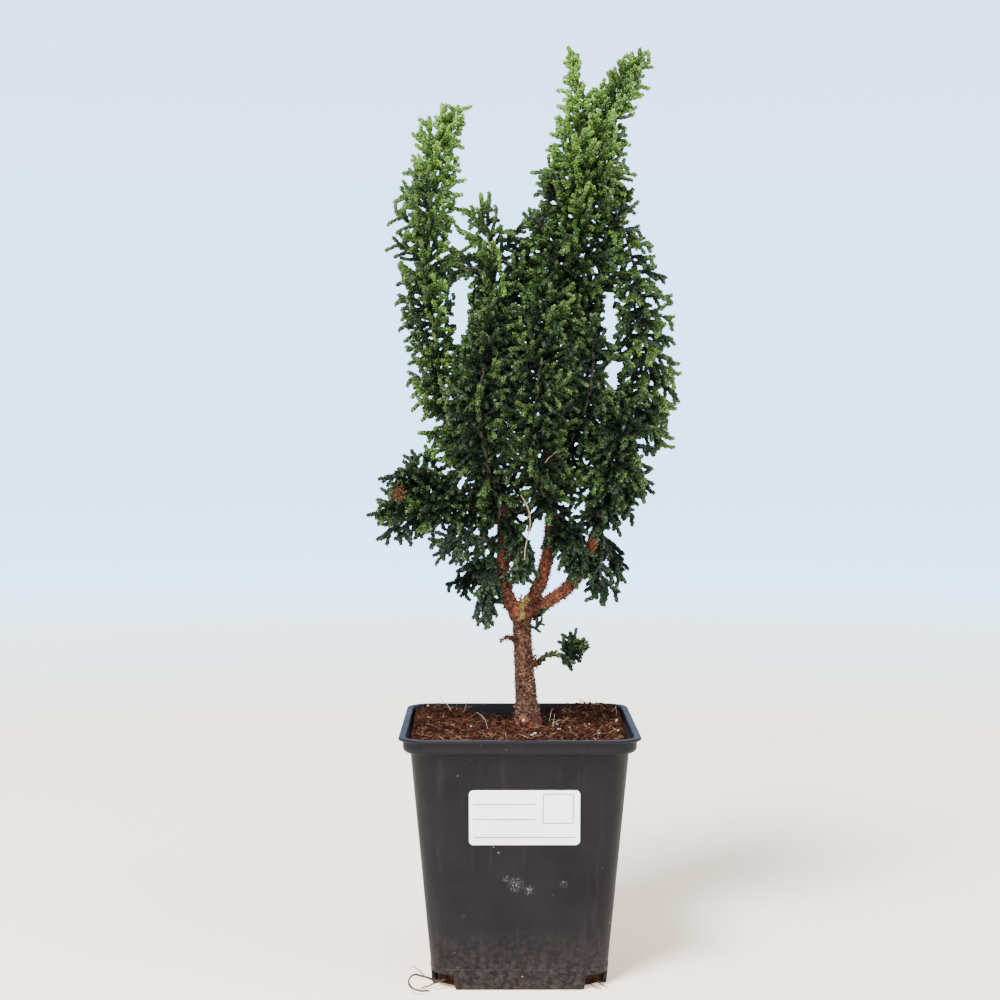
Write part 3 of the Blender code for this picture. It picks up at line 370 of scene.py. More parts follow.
def settle(obj, slot, *nodes):
    """Puts a finished piece on the part's one body and hides the solids that it stands for; the finish given to it is
    not used.
    """
    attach(obj, "root")
    if nodes:
        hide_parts(*nodes)
    return obj


def object_from_bmesh(name, bm, *looks):
    mesh = bpy.data.meshes.new(name)
    bm.to_mesh(mesh)
    bm.free()
    for look in looks:
        mesh.materials.append(look)
    obj = bpy.data.objects.new(name, mesh)
    bpy.context.scene.collection.objects.link(obj)
    return obj


def applied(obj):
    """Replaces the object's mesh by what its modifiers make of it."""
    graph = bpy.context.evaluated_depsgraph_get()
    graph.update()
    mesh = bpy.data.meshes.new_from_object(obj.evaluated_get(graph))
    obj.modifiers.clear()
    old, obj.data = obj.data, mesh
    mesh.name = obj.name
    bpy.data.meshes.remove(old)
    return obj


def set_values(obj, name, values):
    """Stores one number for each of the mesh's points, which a material reads by name."""
    layer = obj.data.attributes.new(name, "FLOAT", "POINT")
    layer.data.foreach_set("value", np.asarray(values, np.float32))


def smooth(obj, sharp_above):
    obj.data.shade_smooth()
    obj.data.set_sharp_from_angle(angle=math.radians(sharp_above))


def unit(vector):
    return vector / np.linalg.norm(vector)


def blend(low, high, share):
    return low + (high - low) * min(max(share, 0.0), 1.0)


def ease(low, high, value):
    """0 below low, 1 above high and smooth between them."""
    share = min(max((value - low) / (high - low), 0.0), 1.0)
    return share * share * (3 - 2 * share)


class Route:
    """A smooth curve through given points, read by its share of the length from 0 to 1."""

    STEPS = 8

    def __init__(self, points):
        given = [np.array(point, float) for point in points]
        given = [2 * given[0] - given[1], *given, 2 * given[-1] - given[-2]]
        samples = []
        for before, start, end, after in zip(given, given[1:], given[2:], given[3:]):
            for t in np.arange(self.STEPS) / self.STEPS:
                samples.append(
                    0.5 * (2 * start + (end - before) * t
                           + (2 * before - 5 * start + 4 * end - after) * t**2
                           + (3 * start - before - 3 * end + after) * t**3)
                )
        samples.append(given[-2])
        self.samples = np.array(samples)
        steps = np.linalg.norm(np.diff(self.samples, axis=0), axis=1)
        self.along = np.concatenate([[0.0], np.cumsum(steps)])
        self.length = float(self.along[-1])

    def at(self, share):
        place = min(max(share, 0.0), 1.0) * self.length
        return np.array([np.interp(place, self.along, self.samples[:, axis]) for axis in range(3)])

    def tangent(self, share):
        return unit(self.at(share + 0.02) - self.at(share - 0.02))


def read_along(values, share):
    return float(np.interp(share, np.linspace(0.0, 1.0, len(values)), values))


def frame_at(route, share):
    """The direction of a route at a place, with two directions square to it."""
    along = route.tangent(share)
    helper = np.array([0.0, 1.0, 0.0]) if abs(along[2]) > 0.95 else np.array([0.0, 0.0, 1.0])
    side = unit(np.cross(along, helper))
    return along, side, unit(np.cross(along, side))


def all_routes():
    """The routes of the limbs and of the leafy stems, as in the solids."""
    routes = {name: Route(limb.points) for name, limb in WOOD.items()}
    for name, stem in LEAFY_STEMS.items():
        parent = routes[stem.parent]
        foot, along = parent.at(stem.place), parent.tangent(stem.place)
        if stem.place == 1.0:
            start, out = foot + along * END_GAP, along
        else:
            toward = np.array(stem.points[0]) - foot
            out = unit(toward - along * np.dot(toward, along))
            radii = WOOD[stem.parent].radii if stem.parent in WOOD else CORE_RADII
            start = foot + out * (read_along(radii, stem.place) + SIDE_GAP)
        routes[name] = Route([start, start + out * SQUARE_RUN, *stem.points])
    return routes


def grown_verts(grown):
    return [item for item in grown if isinstance(item, bmesh.types.BMVert)]


def open_rim(grown):
    return [item for item in grown if isinstance(item, bmesh.types.BMEdge) and item.is_boundary]


def limb_tube(bm, route, radii, step, sides, root=0.0):
    """A closed tube along a route, drawn out ring by ring. root starts it that much inside its parent."""
    count = max(2, round(route.length / step))
    across = frame_at(route, 0.0)[1]
    verts = bmesh.ops.create_circle(bm, segments=sides, radius=1.0, cap_ends=True)["verts"]
    rim = list({edge for vert in verts for edge in vert.link_edges})
    placed = Matrix.Identity(4)
    for number in range(count + 1):
        share = number / count
        along = route.tangent(share)
        start = route.at(share) - along * (0.0 if number else root)
        radius = read_along(radii, share)
        wanted = basis(start, along, across, radius, radius)
        bmesh.ops.transform(bm, matrix=wanted @ placed.inverted(), verts=verts)
        placed = wanted
        if number < count:
            grown = bmesh.ops.extrude_edge_only(bm, edges=rim)["geom"]
            verts, rim = grown_verts(grown), open_rim(grown)
    bmesh.ops.edgeloop_fill(bm, edges=rim)


def place_copy(bm, template, matrix):
    """Adds a transformed copy of a small mesh."""
    copy = template.copy()
    copy.transform(matrix)
    bm.from_mesh(copy)
    bpy.data.meshes.remove(copy)


def basis(start, heading, curve_to, width=1.0, length=1.0):
    """The placement that puts a shape's +Z along a heading and its +X towards where it curves."""
    z = unit(np.asarray(heading, float))
    x = np.asarray(curve_to, float)
    x = x - z * np.dot(x, z)
    if np.linalg.norm(x) < 1e-9:
        x = np.cross(z, [0.31, 0.52, 0.79])
    x = unit(x)
    y = np.cross(z, x)
    rows = np.column_stack([x * width, y * width, z * length, start])
    return Matrix([*rows.tolist(), [0.0, 0.0, 0.0, 1.0]])


# Foliage

Template = namedtuple("Template", "mesh tips along")
Cord = namedtuple("Cord", "start heading curve_to rings bend size fresh gain")


def cord_template(rings, bend):
    """A leafy cord along +Z that bends towards +X, with each whorl of leaves turned from the last."""
    bm = bmesh.new()
    tip_layer = bm.verts.layers.float.new("leaf_tip")
    verts = bmesh.ops.create_circle(bm, segments=3, radius=0.7 * CORD_CORE, cap_ends=True)["verts"]
    rim = list({edge for vert in verts for edge in vert.link_edges})
    whorls = []
    for ring in range(rings):
        grown = bmesh.ops.extrude_edge_only(bm, edges=rim)["geom"]
        verts, rim = grown_verts(grown), open_rim(grown)
        turn = Matrix.Rotation(math.radians(60), 4, "Z")
        bmesh.ops.transform(bm, matrix=Matrix.Translation((0, 0, WHORL_PITCH)) @ turn, verts=verts)
        if ring == 0:
            bmesh.ops.scale(bm, vec=(1 / 0.7, 1 / 0.7, 1.0), verts=verts)
        whorls.append([item for item in grown if isinstance(item, bmesh.types.BMFace)])
    bmesh.ops.scale(bm, vec=(0.82, 0.82, 1.0), verts=verts)
    for ring, faces in enumerate(whorls):
        out = LEAF_OUT * (0.84 if ring in (0, rings - 1) else 1.0)
        for face in faces:
            middle = face.calc_center_median()
            away = Vector((middle.x, middle.y, 0.0)).normalized()
            tip = bmesh.ops.poke(bm, faces=[face])["verts"][0]
            tip.co = away * out + Vector((0.0, 0.0, middle.z + LEAF_FORWARD))
            tip[tip_layer] = 1.0
    end = bmesh.ops.edgeloop_fill(bm, edges=rim)["faces"]
    point = bmesh.ops.poke(bm, faces=end)["verts"][0]
    point.co.z += 0.75 * WHORL_PITCH
    point[tip_layer] = 1.0
    length = (rings + 1) * WHORL_PITCH
    along = [min(vert.co.z / length, 1.0) for vert in bm.verts]
    for vert in bm.verts:
        vert.co.x += bend * vert.co.z * vert.co.z / length
    bmesh.ops.recalc_face_normals(bm, faces=bm.faces)
    mesh = bpy.data.meshes.new("cord")
    tips = [vert[tip_layer] for vert in bm.verts]
    bm.to_mesh(mesh)
    bm.free()
    return Template(mesh, tips, along)


DROOP = 0.38
STEM_SIZES = {"fork_buds": 0.42, "fork_tuft": 0.60, "twig_tuft": 0.84}  # stems smaller than the rest in all
FULL_STEMS = {  # sprays for each one on the solid, where they stand closer or wider than elsewhere
    "crown_low_right": 2.6, "skirt_outer": 2.3, "low_left_arm": 2.7, "low_left_fork": 2.3, "skirt_centre": 2.6,
    "skirt_mid": 2.4, "skirt_front": 2.0, "skirt_right": 1.2, "left_column": 1.7, "fork_buds": 1.0, "fork_tuft": 1.0,
    "twig_tuft": 2.6, "crown_back_left": 1.4, "crown_back_mid": 1.4, "crown_back_right": 1.5, "centre_leader": 1.5,
}
STEM_BIAS = {  # which way the sprays of a stem are drawn besides outwards
    "left_column": (-0.13, 0.0, 0.0), "skirt_left": (0.2, 0.0, 0.1), "skirt_right": (-0.35, 0.0, 0.40), "skirt_outer": (-0.35, 0.0, -0.25),
    "low_left_arm": (-0.10, -0.1, -0.05), "crown_low_right": (-0.15, -0.2, -0.25),
}


def spray_count(name, stem):
    return round(stem.sprays * FULL_STEMS.get(name, FULLNESS))


def draw_spray(name, route, stem, index, rng):
    """The joints of a spray's main cord, and the direction that its fan spreads to."""
    share = (index + 0.6) / spray_count(name, stem)
    along, side, other = frame_at(route, share)
    turn = index * GOLDEN_TURN + rng.uniform(-0.35, 0.35)
    lean = math.radians(read_along(stem.lean, share) + rng.uniform(-10, 10))
    reach = read_along(stem.reach, share) * rng.uniform(0.88, 1.12) * STEM_SIZES.get(name, 1.0)
    away = side * math.cos(turn) + other * math.sin(turn)
    direction = unit(along * math.cos(lean) + away * math.sin(lean) + np.array(STEM_BIAS.get(name, (0, 0, 0))))
    length = reach / max(math.sin(lean), 0.5)
    count = max(1, round(length / JOINT_PITCH))
    joints = [route.at(share)]
    droop = 0.0 if name in STEM_SIZES else DROOP * (1.0 - ease(0.345, 0.405, joints[0][2])) - stem.lift
    direction = unit(direction - np.array([0.0, 0.0, 0.5 * droop]))
    for joint in range(count):
        heading = unit(direction - np.array([0.0, 0.0, droop * (joint + 0.5) / count]))
        joints.append(joints[-1] + heading * length / count)
    flat = unit(np.cross(direction, along))
    tilt = math.radians(90 * rng.choice((-1, 1)) + rng.uniform(-42, 42))
    return joints, unit(flat * math.cos(tilt) + np.cross(direction, flat) * math.sin(tilt)), length


def shoot_cords(start, heading, curve_to, reach, size, fresh, rng):
    """An unbranched shoot of a spray: one cord, or two end to end where it is long."""
    rings = min(max(round(reach / size / WHORL_PITCH) - 1, CORD_RINGS[0]), 2 * CORD_RINGS[-1])
    parts = [rings] if rings <= CORD_RINGS[-1] else [rings - rings // 2, rings // 2]
    gain = TIP_FRESH_AND_LIT / len(parts)
    bend = rng.choice(CORD_BENDS)
    cords = []
    for number, part in enumerate(parts):
        own = fresh + gain * (number + 0.5 - 0.5 * len(parts))
        cords.append(Cord(start, heading, curve_to, part, bend, size, own, gain))
        reach = part * size * WHORL_PITCH
        across = unit(curve_to - heading * np.dot(curve_to, heading))
        start = start + heading * reach + across * bend * reach * part / (part + 1)
        heading = unit(heading + across * 2.0 * bend * part / (part + 1))
    return cords


def spray_cords(name, stem, index, route, youth_and_shade_at):
    """All the cords of one spray: the joints of its main cord, and shoots on both sides."""
    rng = random.Random(f"{name} {index}")
    joints, spread, length = draw_spray(name, route, stem, index, rng)
    full = STEM_SIZES.get(name, 1.0)
    size = full * rng.uniform(0.90, 1.06)
    fresh = youth_and_shade_at(joints[-1], rng)
    count = len(joints) - 1
    cords = []
    for joint, (start, end) in enumerate(zip(joints, joints[1:])):
        rings = min(max(round(length / count / size / WHORL_PITCH), CORD_RINGS[0]), CORD_RINGS[-1])
        share = joint / max(count - 1, 1)
        # Painted shade: the main cord's joints are set darker towards the spray's base, deep in the crown.
        cords.append(Cord(start, unit(end - start), spread, rings, 0.05, size, fresh + blend(-0.25, 0.05, share), 0.2))
    hang = 0.0 if name in STEM_SIZES else 1.0 - ease(0.33, 0.40, joints[0][2])
    down = np.array([0.0, 0.0, 0.26 * hang])
    nodes = max(3, int(length / full / NODE_PITCH))
    for node in range(nodes):
        share = (node + 0.7) / nodes
        place = share * count
        low = min(int(place), count - 1)
        along = unit(joints[low + 1] - joints[low])
        start = joints[low] + (joints[low + 1] - joints[low]) * (place - low)
        fan_normal = unit(np.cross(along, spread))
        across = np.cross(fan_normal, along)
        curve_to = unit(along - np.array([0.0, 0.0, 1.4 * hang]))
        reach = full * min(max(length / full * read_along(SHOOT_SHARES, share), SHOOT_LENGTHS[0]), SHOOT_LENGTHS[1])
        lean = SHOOT_LEAN + rng.uniform(-0.15, 0.15)
        side = 1.0 if node % 2 else -1.0
        outward = across * side * 0.96 + fan_normal * rng.uniform(-0.12, 0.28)
        heading = unit(along * math.cos(lean) + outward * math.sin(lean) - down)
        # Painted shade: the shoots are set darker towards the spray's base, deep in the crown.
        own = fresh + blend(-0.20, 0.06, share) + rng.uniform(-0.05, 0.05)
        cords += shoot_cords(start, heading, curve_to, reach * rng.uniform(0.85, 1.12), size * 0.97, own, rng)
        if node % 3 == 0:
            heading = unit(along * math.cos(lean) - fan_normal * math.sin(lean) - down)
            cords += shoot_cords(start, heading, curve_to, reach * 0.7, size * 0.95, own - 0.05, rng)
    return [cord for cord in cords if not in_opening(cord)]


OPENINGS = [  # where the sky shows through the crown: middles across and up, and half sizes
    (-0.0295, 0.3440, 0.0026, 0.0050), (-0.0272, 0.3140, 0.0034, 0.0125), (-0.0290, 0.2985, 0.0020, 0.0050),
    (0.0426, 0.3080, 0.0022, 0.0150), (0.0440, 0.2800, 0.0028, 0.0070), (0.0312, 0.4225, 0.0026, 0.0080),
    (-0.0205, 0.3960, 0.0040, 0.0120), (0.0780, 0.3000, 0.0040, 0.0080), (-0.0050, 0.3560, 0.0040, 0.0060),
]


def in_opening(cord):
    end = cord.start + unit(cord.heading) * cord.rings * cord.size * WHORL_PITCH
    return any(
        math.hypot((place[0] - x) / half_x, (place[2] - z) / half_z) < 1.0
        for place in (end, cord.start) for x, z, half_x, half_z in OPENINGS
    )


def stem_youth_and_shade(name):
    """How young a spray's leaves are, from its height and its stem: 0 for old and 1 for new growth; its place also sets
    it darker near the bottom, and darker towards the back as painted shade.
    """
    def youth_and_shade_at(tip, rng):
        height = ease(0.27, 0.43, tip[2])
        value = 0.28 + 0.54 * height ** 2.8 + rng.uniform(-0.19, 0.19)
        value -= 0.20 * (1.0 - ease(0.18, 0.25, tip[2]))
        # Painted shade: sprays towards the back of the crown are set darker.
        value -= 0.10 * ease(0.004, 0.03, tip[1])
        return value + YOUNG_STEMS.get(name, 0.0)
    return youth_and_shade_at


TIP_FRESH_AND_LIT = 0.48  # how much fresher and lighter a cord's end is than its start: partly new growth, partly a painted highlight on the crown's outer tips
YOUNG_STEMS = {
    "left_column": 0.22, "left_frond": 0.14, "second_tip": 0.10, "fork_buds": 0.62, "fork_tuft": 0.1,
    "twig_tuft": 0.12, "right_column": 0.12, "low_left_arm": -0.08,
}


def foliage_piece(name, stem, route, templates, looks, settings):
    """One leafy stem: its woody core, dressed all round with sprays."""
    cords = []
    for index in range(spray_count(name, stem)):
        cords += spray_cords(name, stem, index, route, stem_youth_and_shade(name))
    rng = random.Random(name)
    cords += shoot_cords(route.at(0.98), route.tangent(1.0), np.array([0.3, 0.0, 1.0]), 0.006 * STEM_SIZES.get(name, 1.0), STEM_SIZES.get(name, 1.0),
                         stem_youth_and_shade(name)(route.at(1.0), rng) + 0.1, rng)
    bm = bmesh.new()
    limb_tube(bm, route, CORE_RADII, 0.0025, 6, root=SIDE_GAP + 0.0012)
    bmesh.ops.recalc_face_normals(bm, faces=bm.faces)
    for face in bm.faces:
        face.material_index = 1
    core_points = len(bm.verts)
    fresh = [stem_youth_and_shade(name)(route.at(0.5), random.Random(name))] * core_points
    tips = [0.5] * core_points
    for cord in cords:
        template = templates[cord.rings, cord.bend]
        place_copy(bm, template.mesh, basis(
            cord.start, cord.heading, cord.curve_to, cord.size * settings.cord_width, cord.size
        ))
        # Each cord is set lighter towards its end, partly new growth and partly painted highlight.
        fresh += [cord.fresh + cord.gain * (along - 0.5) for along in template.along]
        # Painted shade: leaf tips near the cord's start count for less, so its base is set darker.
        tips += [tip * (0.6 + 0.4 * along) for tip, along in zip(template.tips, template.along)]
    obj = object_from_bmesh(name + "_foliage", bm, *looks)
    set_values(obj, "fresh", np.clip(fresh, 0.0, 1.0))
    set_values(obj, "leaf_tip", tips)
    obj.data.shade_flat()
    return settle(obj, "young_foliage" if name == "fork_buds" else "foliage", name)


# Materials

class Look:
    """A Principled material and the nodes that feed it, read in object coordinates."""

    def __init__(self, name, roughness, specular=0.5):
        self.material = bpy.data.materials.new(name)
        self.material.use_nodes = True
        self.tree = self.material.node_tree
        self.shader = self.tree.nodes["Principled BSDF"]
        self.shader.inputs["Roughness"].default_value = roughness
        self.shader.inputs["Specular IOR Level"].default_value = specular
        self.place = self.node("ShaderNodeTexCoord").outputs["Object"]

    def node(self, kind, **settings):
        made = self.tree.nodes.new(kind)
        for key, value in settings.items():
            setattr(made, key, value)
        return made

    def feed(self, socket, source):
        if isinstance(source, bpy.types.NodeSocket):
            self.tree.links.new(source, socket)
        else:
            socket.default_value = source

    def stretched(self, scale):
        mapping = self.node("ShaderNodeMapping")
        self.feed(mapping.inputs["Vector"], self.place)
        mapping.inputs["Scale"].default_value = scale
        return mapping.outputs["Vector"]

    def noise(self, scale, detail=3.0, roughness=0.55, stretch=None):
        made = self.node("ShaderNodeTexNoise")
        self.feed(made.inputs["Vector"], self.stretched(stretch) if stretch else self.place)
        made.inputs["Scale"].default_value = scale
        made.inputs["Detail"].default_value = detail
        made.inputs["Roughness"].default_value = roughness
        return made.outputs["Fac"]

    def cells(self, scale, output="Distance", stretch=None):
        made = self.node("ShaderNodeTexVoronoi")
        self.feed(made.inputs["Vector"], self.stretched(stretch) if stretch else self.place)
        made.inputs["Scale"].default_value = scale
        return made.outputs[output]

    def attribute(self, name):
        return self.node("ShaderNodeAttribute", attribute_name=name).outputs["Fac"]

    def ramp(self, value, stops):
        made = self.node("ShaderNodeValToRGB")
        self.feed(made.inputs["Fac"], value)
        elements = made.color_ramp.elements
        while len(elements) < len(stops):
            elements.new(0.5)
        for element, (position, colour) in zip(elements, stops):
            element.position = position
            element.color = (*colour, 1.0) if isinstance(colour, (tuple, list)) else (colour, colour, colour, 1.0)
        return made.outputs["Color"]

    def span(self, value, low, high, to_low=0.0, to_high=1.0):
        made = self.node("ShaderNodeMapRange")
        self.feed(made.inputs["Value"], value)
        for socket, number in zip(("From Min", "From Max", "To Min", "To Max"), (low, high, to_low, to_high)):
            made.inputs[socket].default_value = number
        return made.outputs["Result"]

    def math(self, operation, first, second=0.0):
        made = self.node("ShaderNodeMath", operation=operation)
        self.feed(made.inputs[0], first)
        self.feed(made.inputs[1], second)
        return made.outputs["Value"]

    def mix(self, factor, first, second, mode="MIX"):
        made = self.node("ShaderNodeMix", data_type="RGBA", blend_type=mode)
        for socket, source in zip(("Factor_Float", "A_Color", "B_Color"), (factor, first, second)):
            target = next(item for item in made.inputs if item.identifier == socket)
            if isinstance(source, (tuple, list)):
                source = (*source, 1.0)
            self.feed(target, source)
        return next(item for item in made.outputs if item.identifier == "Result_Color")

    def colour(self, source):
        self.feed(self.shader.inputs["Base Color"], source)

    def roughness(self, source):
        self.feed(self.shader.inputs["Roughness"], source)

    def bump(self, height, distance, strength=1.0):
        made = self.node("ShaderNodeBump")
        made.inputs["Strength"].default_value = strength
        made.inputs["Distance"].default_value = distance
        self.feed(made.inputs["Height"], height)
        self.feed(self.shader.inputs["Normal"], made.outputs["Normal"])
        return self.material


def leaf_look(settings):
    look = Look("scale_leaves", 0.45, 0.18)
    fresh = look.math("ADD", look.attribute("fresh"), look.span(look.noise(260.0, 2.0), 0.3, 0.7, -0.10, 0.10))
    # The darkest green at 0 is painted shade deep inside the crown; above it come old leaves, grown leaves and new
    # growth.
    green = look.ramp(fresh, [
        (0.0, (0.012, 0.026, 0.011)), (0.22, tuple(settings.old_leaf)), (0.5, tuple(settings.leaf)),
        (0.75, (0.125, 0.225, 0.040)), (1.0, tuple(settings.young_leaf)),
    ])
    # Painted light and shade on scale leaves too small to model: each small cell is lighter in its middle and darker at
    # its edge.
    scales = look.span(look.cells(1500.0), 0.15, 0.62, 1.0, 0.0)
    dark = look.mix(1.0, green, (0.34, 0.42, 0.28), "MULTIPLY")
    scale_light_and_shade = look.mix(scales, dark, look.mix(1.0, green, (1.45, 1.35, 1.30), "MULTIPLY"))
    # Painted shade and highlight: the cord's core is darkened and its leaf tips are brightened.
    depth = look.ramp(look.attribute("leaf_tip"), [(0.0, 0.17), (0.55, 0.78), (1.0, 1.24)])
    look.colour(look.mix(1.0, scale_light_and_shade, depth, "MULTIPLY"))
    look.roughness(look.span(look.noise(900.0, 1.0), 0.3, 0.7, 0.38, 0.60))
    return look.material


def stem_look():
    look = Look("green_stems", 0.6, 0.3)
    # The stems read the same value as the leaves: their age together with painted shade.
    look.colour(look.ramp(look.attribute("fresh"), [
        (0.18, (0.020, 0.011, 0.006)), (0.42, (0.040, 0.040, 0.012)), (0.75, (0.13, 0.16, 0.03)),
    ]))
    return look.bump(look.noise(900.0, 2.0), 0.0002)


def bark_look():
    look = Look("flaking_bark", 0.85, 0.12)
    fibres = look.noise(620.0, 6.0, 0.72, (1.0, 1.0, 1.35))
    plates = look.noise(260.0, 4.0, 0.6, (1.0, 1.0, 0.8))
    grey = look.ramp(fibres, [
        (0.38, (0.006, 0.0025, 0.0015)), (0.47, (0.045, 0.019, 0.011)), (0.56, (0.105, 0.050, 0.032)), (0.70, (0.24, 0.155, 0.115)),
    ])
    red = look.ramp(fibres, [
        (0.36, (0.010, 0.003, 0.002)), (0.46, (0.060, 0.019, 0.010)), (0.58, (0.155, 0.050, 0.025)), (0.74, (0.38, 0.19, 0.10)),
    ])
    orange = look.mix(look.attribute("red"), grey, red)
    orange = look.mix(1.0, orange, look.ramp(look.noise(150.0, 2.0, 0.5, (1.0, 1.0, 0.4)), [(0.38, 0.62), (0.62, 1.25)]), "MULTIPLY")
    patches = look.math("MULTIPLY", look.attribute("orange"), look.span(plates, 0.55, 0.62, 0.0, 0.75))
    look.colour(look.mix(patches, orange, (0.20, 0.040, 0.015)))
    look.roughness(look.span(plates, 0.3, 0.7, 0.72, 0.95))
    return look.bump(look.mix(0.5, fibres, plates), 0.0009, 1.0)


def dead_leaf_look():
    look = Look("dead_scale_leaves", 0.75, 0.12)
    tone = look.ramp(look.attribute("tone"), [
        (0.0, (0.018, 0.007, 0.004)), (0.35, (0.070, 0.023, 0.010)), (0.65, (0.15, 0.055, 0.018)),
        (0.85, (0.28, 0.120, 0.042)), (1.0, (0.34, 0.24, 0.17)),
    ])
    look.colour(look.mix(look.span(look.noise(2200.0, 2.0), 0.35, 0.65), tone, (0.62, 0.55, 0.50), "MULTIPLY"))
    return look.material


def plastic_look(settings):
    look = Look("charcoal_plastic", 0.5, 0.07)
    cloud = look.noise(34.0, 3.0)
    streaks = look.noise(260.0, 3.0, 0.6, (1.0, 1.0, 0.05))
    scratches = look.noise(1500.0, 2.0, 0.5, (0.25, 0.25, 1.0))
    base = look.mix(look.span(cloud, 0.35, 0.68), tuple(settings.plastic), (0.0100, 0.0090, 0.0095))
    base = look.mix(look.span(streaks, 0.56, 0.70, 0.0, 0.25), base, (0.024, 0.021, 0.020))
    height = look.node("ShaderNodeSeparateXYZ")
    look.feed(height.inputs["Vector"], look.place)
    base = look.mix(look.span(height.outputs["Z"], 0.104, 0.112, 0.0, 0.55), base, (0.0105, 0.0100, 0.0110))
    dusty = look.span(height.outputs["Z"], 0.030, 0.002, 0.0, 0.5)
    dust = look.math("MULTIPLY", dusty, look.span(look.noise(420.0, 4.0, 0.7), 0.42, 0.66))
    base = look.mix(dust, base, (0.060, 0.045, 0.035))
    specks = look.math("MULTIPLY", look.span(look.cells(260.0), 0.13, 0.06), look.span(look.noise(75.0, 1.0), 0.63, 0.66))
    base = look.mix(specks, base, (0.16, 0.12, 0.09))
    marks = 0.0
    for middle, reach in SCUFFS:
        away = look.node("ShaderNodeVectorMath", operation="DISTANCE")
        look.feed(away.inputs[0], look.place)
        away.inputs[1].default_value = middle
        marks = look.math("MAXIMUM", look.span(away.outputs["Value"], reach, 0.3 * reach), marks)
    flecks = look.span(look.noise(1500.0, 4.0, 0.7), 0.53, 0.62)
    base = look.mix(look.math("MULTIPLY", marks, flecks), base, (0.15, 0.145, 0.145))
    for middle, reach in DIRT_SPOTS:
        away = look.node("ShaderNodeVectorMath", operation="DISTANCE")
        look.feed(away.inputs[0], look.place)
        away.inputs[1].default_value = middle
        base = look.mix(look.span(away.outputs["Value"], reach, 0.2 * reach, 0.0, 0.7), base, (0.07, 0.028, 0.013))
    look.colour(base)
    look.roughness(look.span(look.mix(0.5, cloud, streaks), 0.3, 0.7, 0.42, 0.62))
    return look.bump(look.mix(0.35, scratches, cloud), 0.00012, 0.35)


SCUFFS = [  # middles of the pale scuffs on the front wall and how far each reaches
    ((-0.0020, -0.0443, 0.0500), 0.0042), ((0.0042, -0.0442, 0.0470), 0.0026), ((-0.0062, -0.0444, 0.0525), 0.0020),
    ((0.0198, -0.0443, 0.0500), 0.0022), ((-0.0300, -0.0460, 0.0330), 0.0018), ((-0.0260, -0.0435, 0.0350), 0.0012),
]
DIRT_SPOTS = [  # middles of the brown smears and how far each reaches
    ((-0.0062, -0.0531, 0.1128), 0.0007), ((-0.0040, -0.0531, 0.1134), 0.0004), ((-0.0225, -0.0500, 0.1075), 0.0006),
    ((0.0450, -0.0478, 0.0930), 0.0008),
]


def paper_look(settings):
    look = Look("label_paper", 0.55, 0.35)
    look.colour(look.mix(look.span(look.noise(60.0, 3.0), 0.3, 0.7), tuple(settings.paper), (0.80, 0.745, 0.755)))
    return look.bump(look.noise(2600.0, 2.0), 0.00003, 0.4)


def ink_look():
    look = Look("ruling_ink", 0.6, 0.3)
    look.colour(look.ramp(look.noise(1800.0, 2.0), [(0.35, (0.030, 0.029, 0.031)), (0.7, (0.07, 0.067, 0.07))]))
    return look.material


def soil_look(settings):
    look = Look("potting_soil", 0.95, 0.04)
    crumbs = look.noise(520.0, 6.0, 0.75)
    deep = look.ramp(crumbs, [
        (0.34, (0.003, 0.0015, 0.001)), (0.47, tuple(settings.soil)), (0.58, (0.042, 0.015, 0.008)), (0.74, (0.11, 0.050, 0.027)),
    ])
    look.colour(look.mix(look.span(look.noise(70.0, 2.0), 0.42, 0.66, 0.0, 0.6), deep, (0.55, 0.50, 0.48), "MULTIPLY"))
    return look.bump(crumbs, 0.0009, 1.0)


def fibre_look():
    look = Look("coir_fibres", 0.85, 0.06)
    tone = look.ramp(look.attribute("tone"), [
        (0.0, (0.004, 0.0018, 0.001)), (0.35, (0.018, 0.006, 0.003)), (0.62, (0.060, 0.021, 0.010)),
        (0.86, (0.14, 0.062, 0.033)), (1.0, (0.27, 0.18, 0.11)),
    ])
    look.colour(look.mix(look.span(look.noise(1300.0, 2.0), 0.35, 0.7), tone, (0.60, 0.55, 0.52), "MULTIPLY"))
    return look.material


def plain_look(name, dark, light, roughness, scale=900.0):
    """A finish that wavers between two colours."""
    look = Look(name, roughness, 0.35)
    speckle = look.noise(scale, 4.0, 0.65)
    look.colour(look.mix(look.span(speckle, 0.38, 0.64), dark, light))
    return look.bump(speckle, 0.0002, 0.6)


# Wood

LIMB_SIDES = 18
BARK_VOXEL = 0.00058
FLAKES = {  # how many dead scales stand on a limb, from and to which share of its length, and their length
    "trunk": (1700, 0.16, 1.0, 0.0017), "limb_left": (800, 0.0, 0.75, 0.0016), "limb_centre": (1000, 0.0, 0.8, 0.0016),
    "limb_right": (1000, 0.0, 0.85, 0.0016), "dead_twig": (60, 0.1, 1.0, 0.0012),
}
FLAKE_WIDTH = 0.00062


def surface_roughness(place):
    """How far the bark stands out at a place: long fibres over plates."""
    x, y, z = place
    fibres = noise.noise(Vector((x * 900, y * 900, z * 1250)))
    plates = noise.noise(Vector((x * 420, y * 420, z * 380)) + Vector((7.0, 3.0, 1.0)))
    knots = max(0.0, noise.noise(Vector((x * 190, y * 190, z * 160)) + Vector((2.0, 9.0, 4.0))) - 0.28)
    return 0.00030 * fibres + 0.00042 * plates + 0.0013 * knots


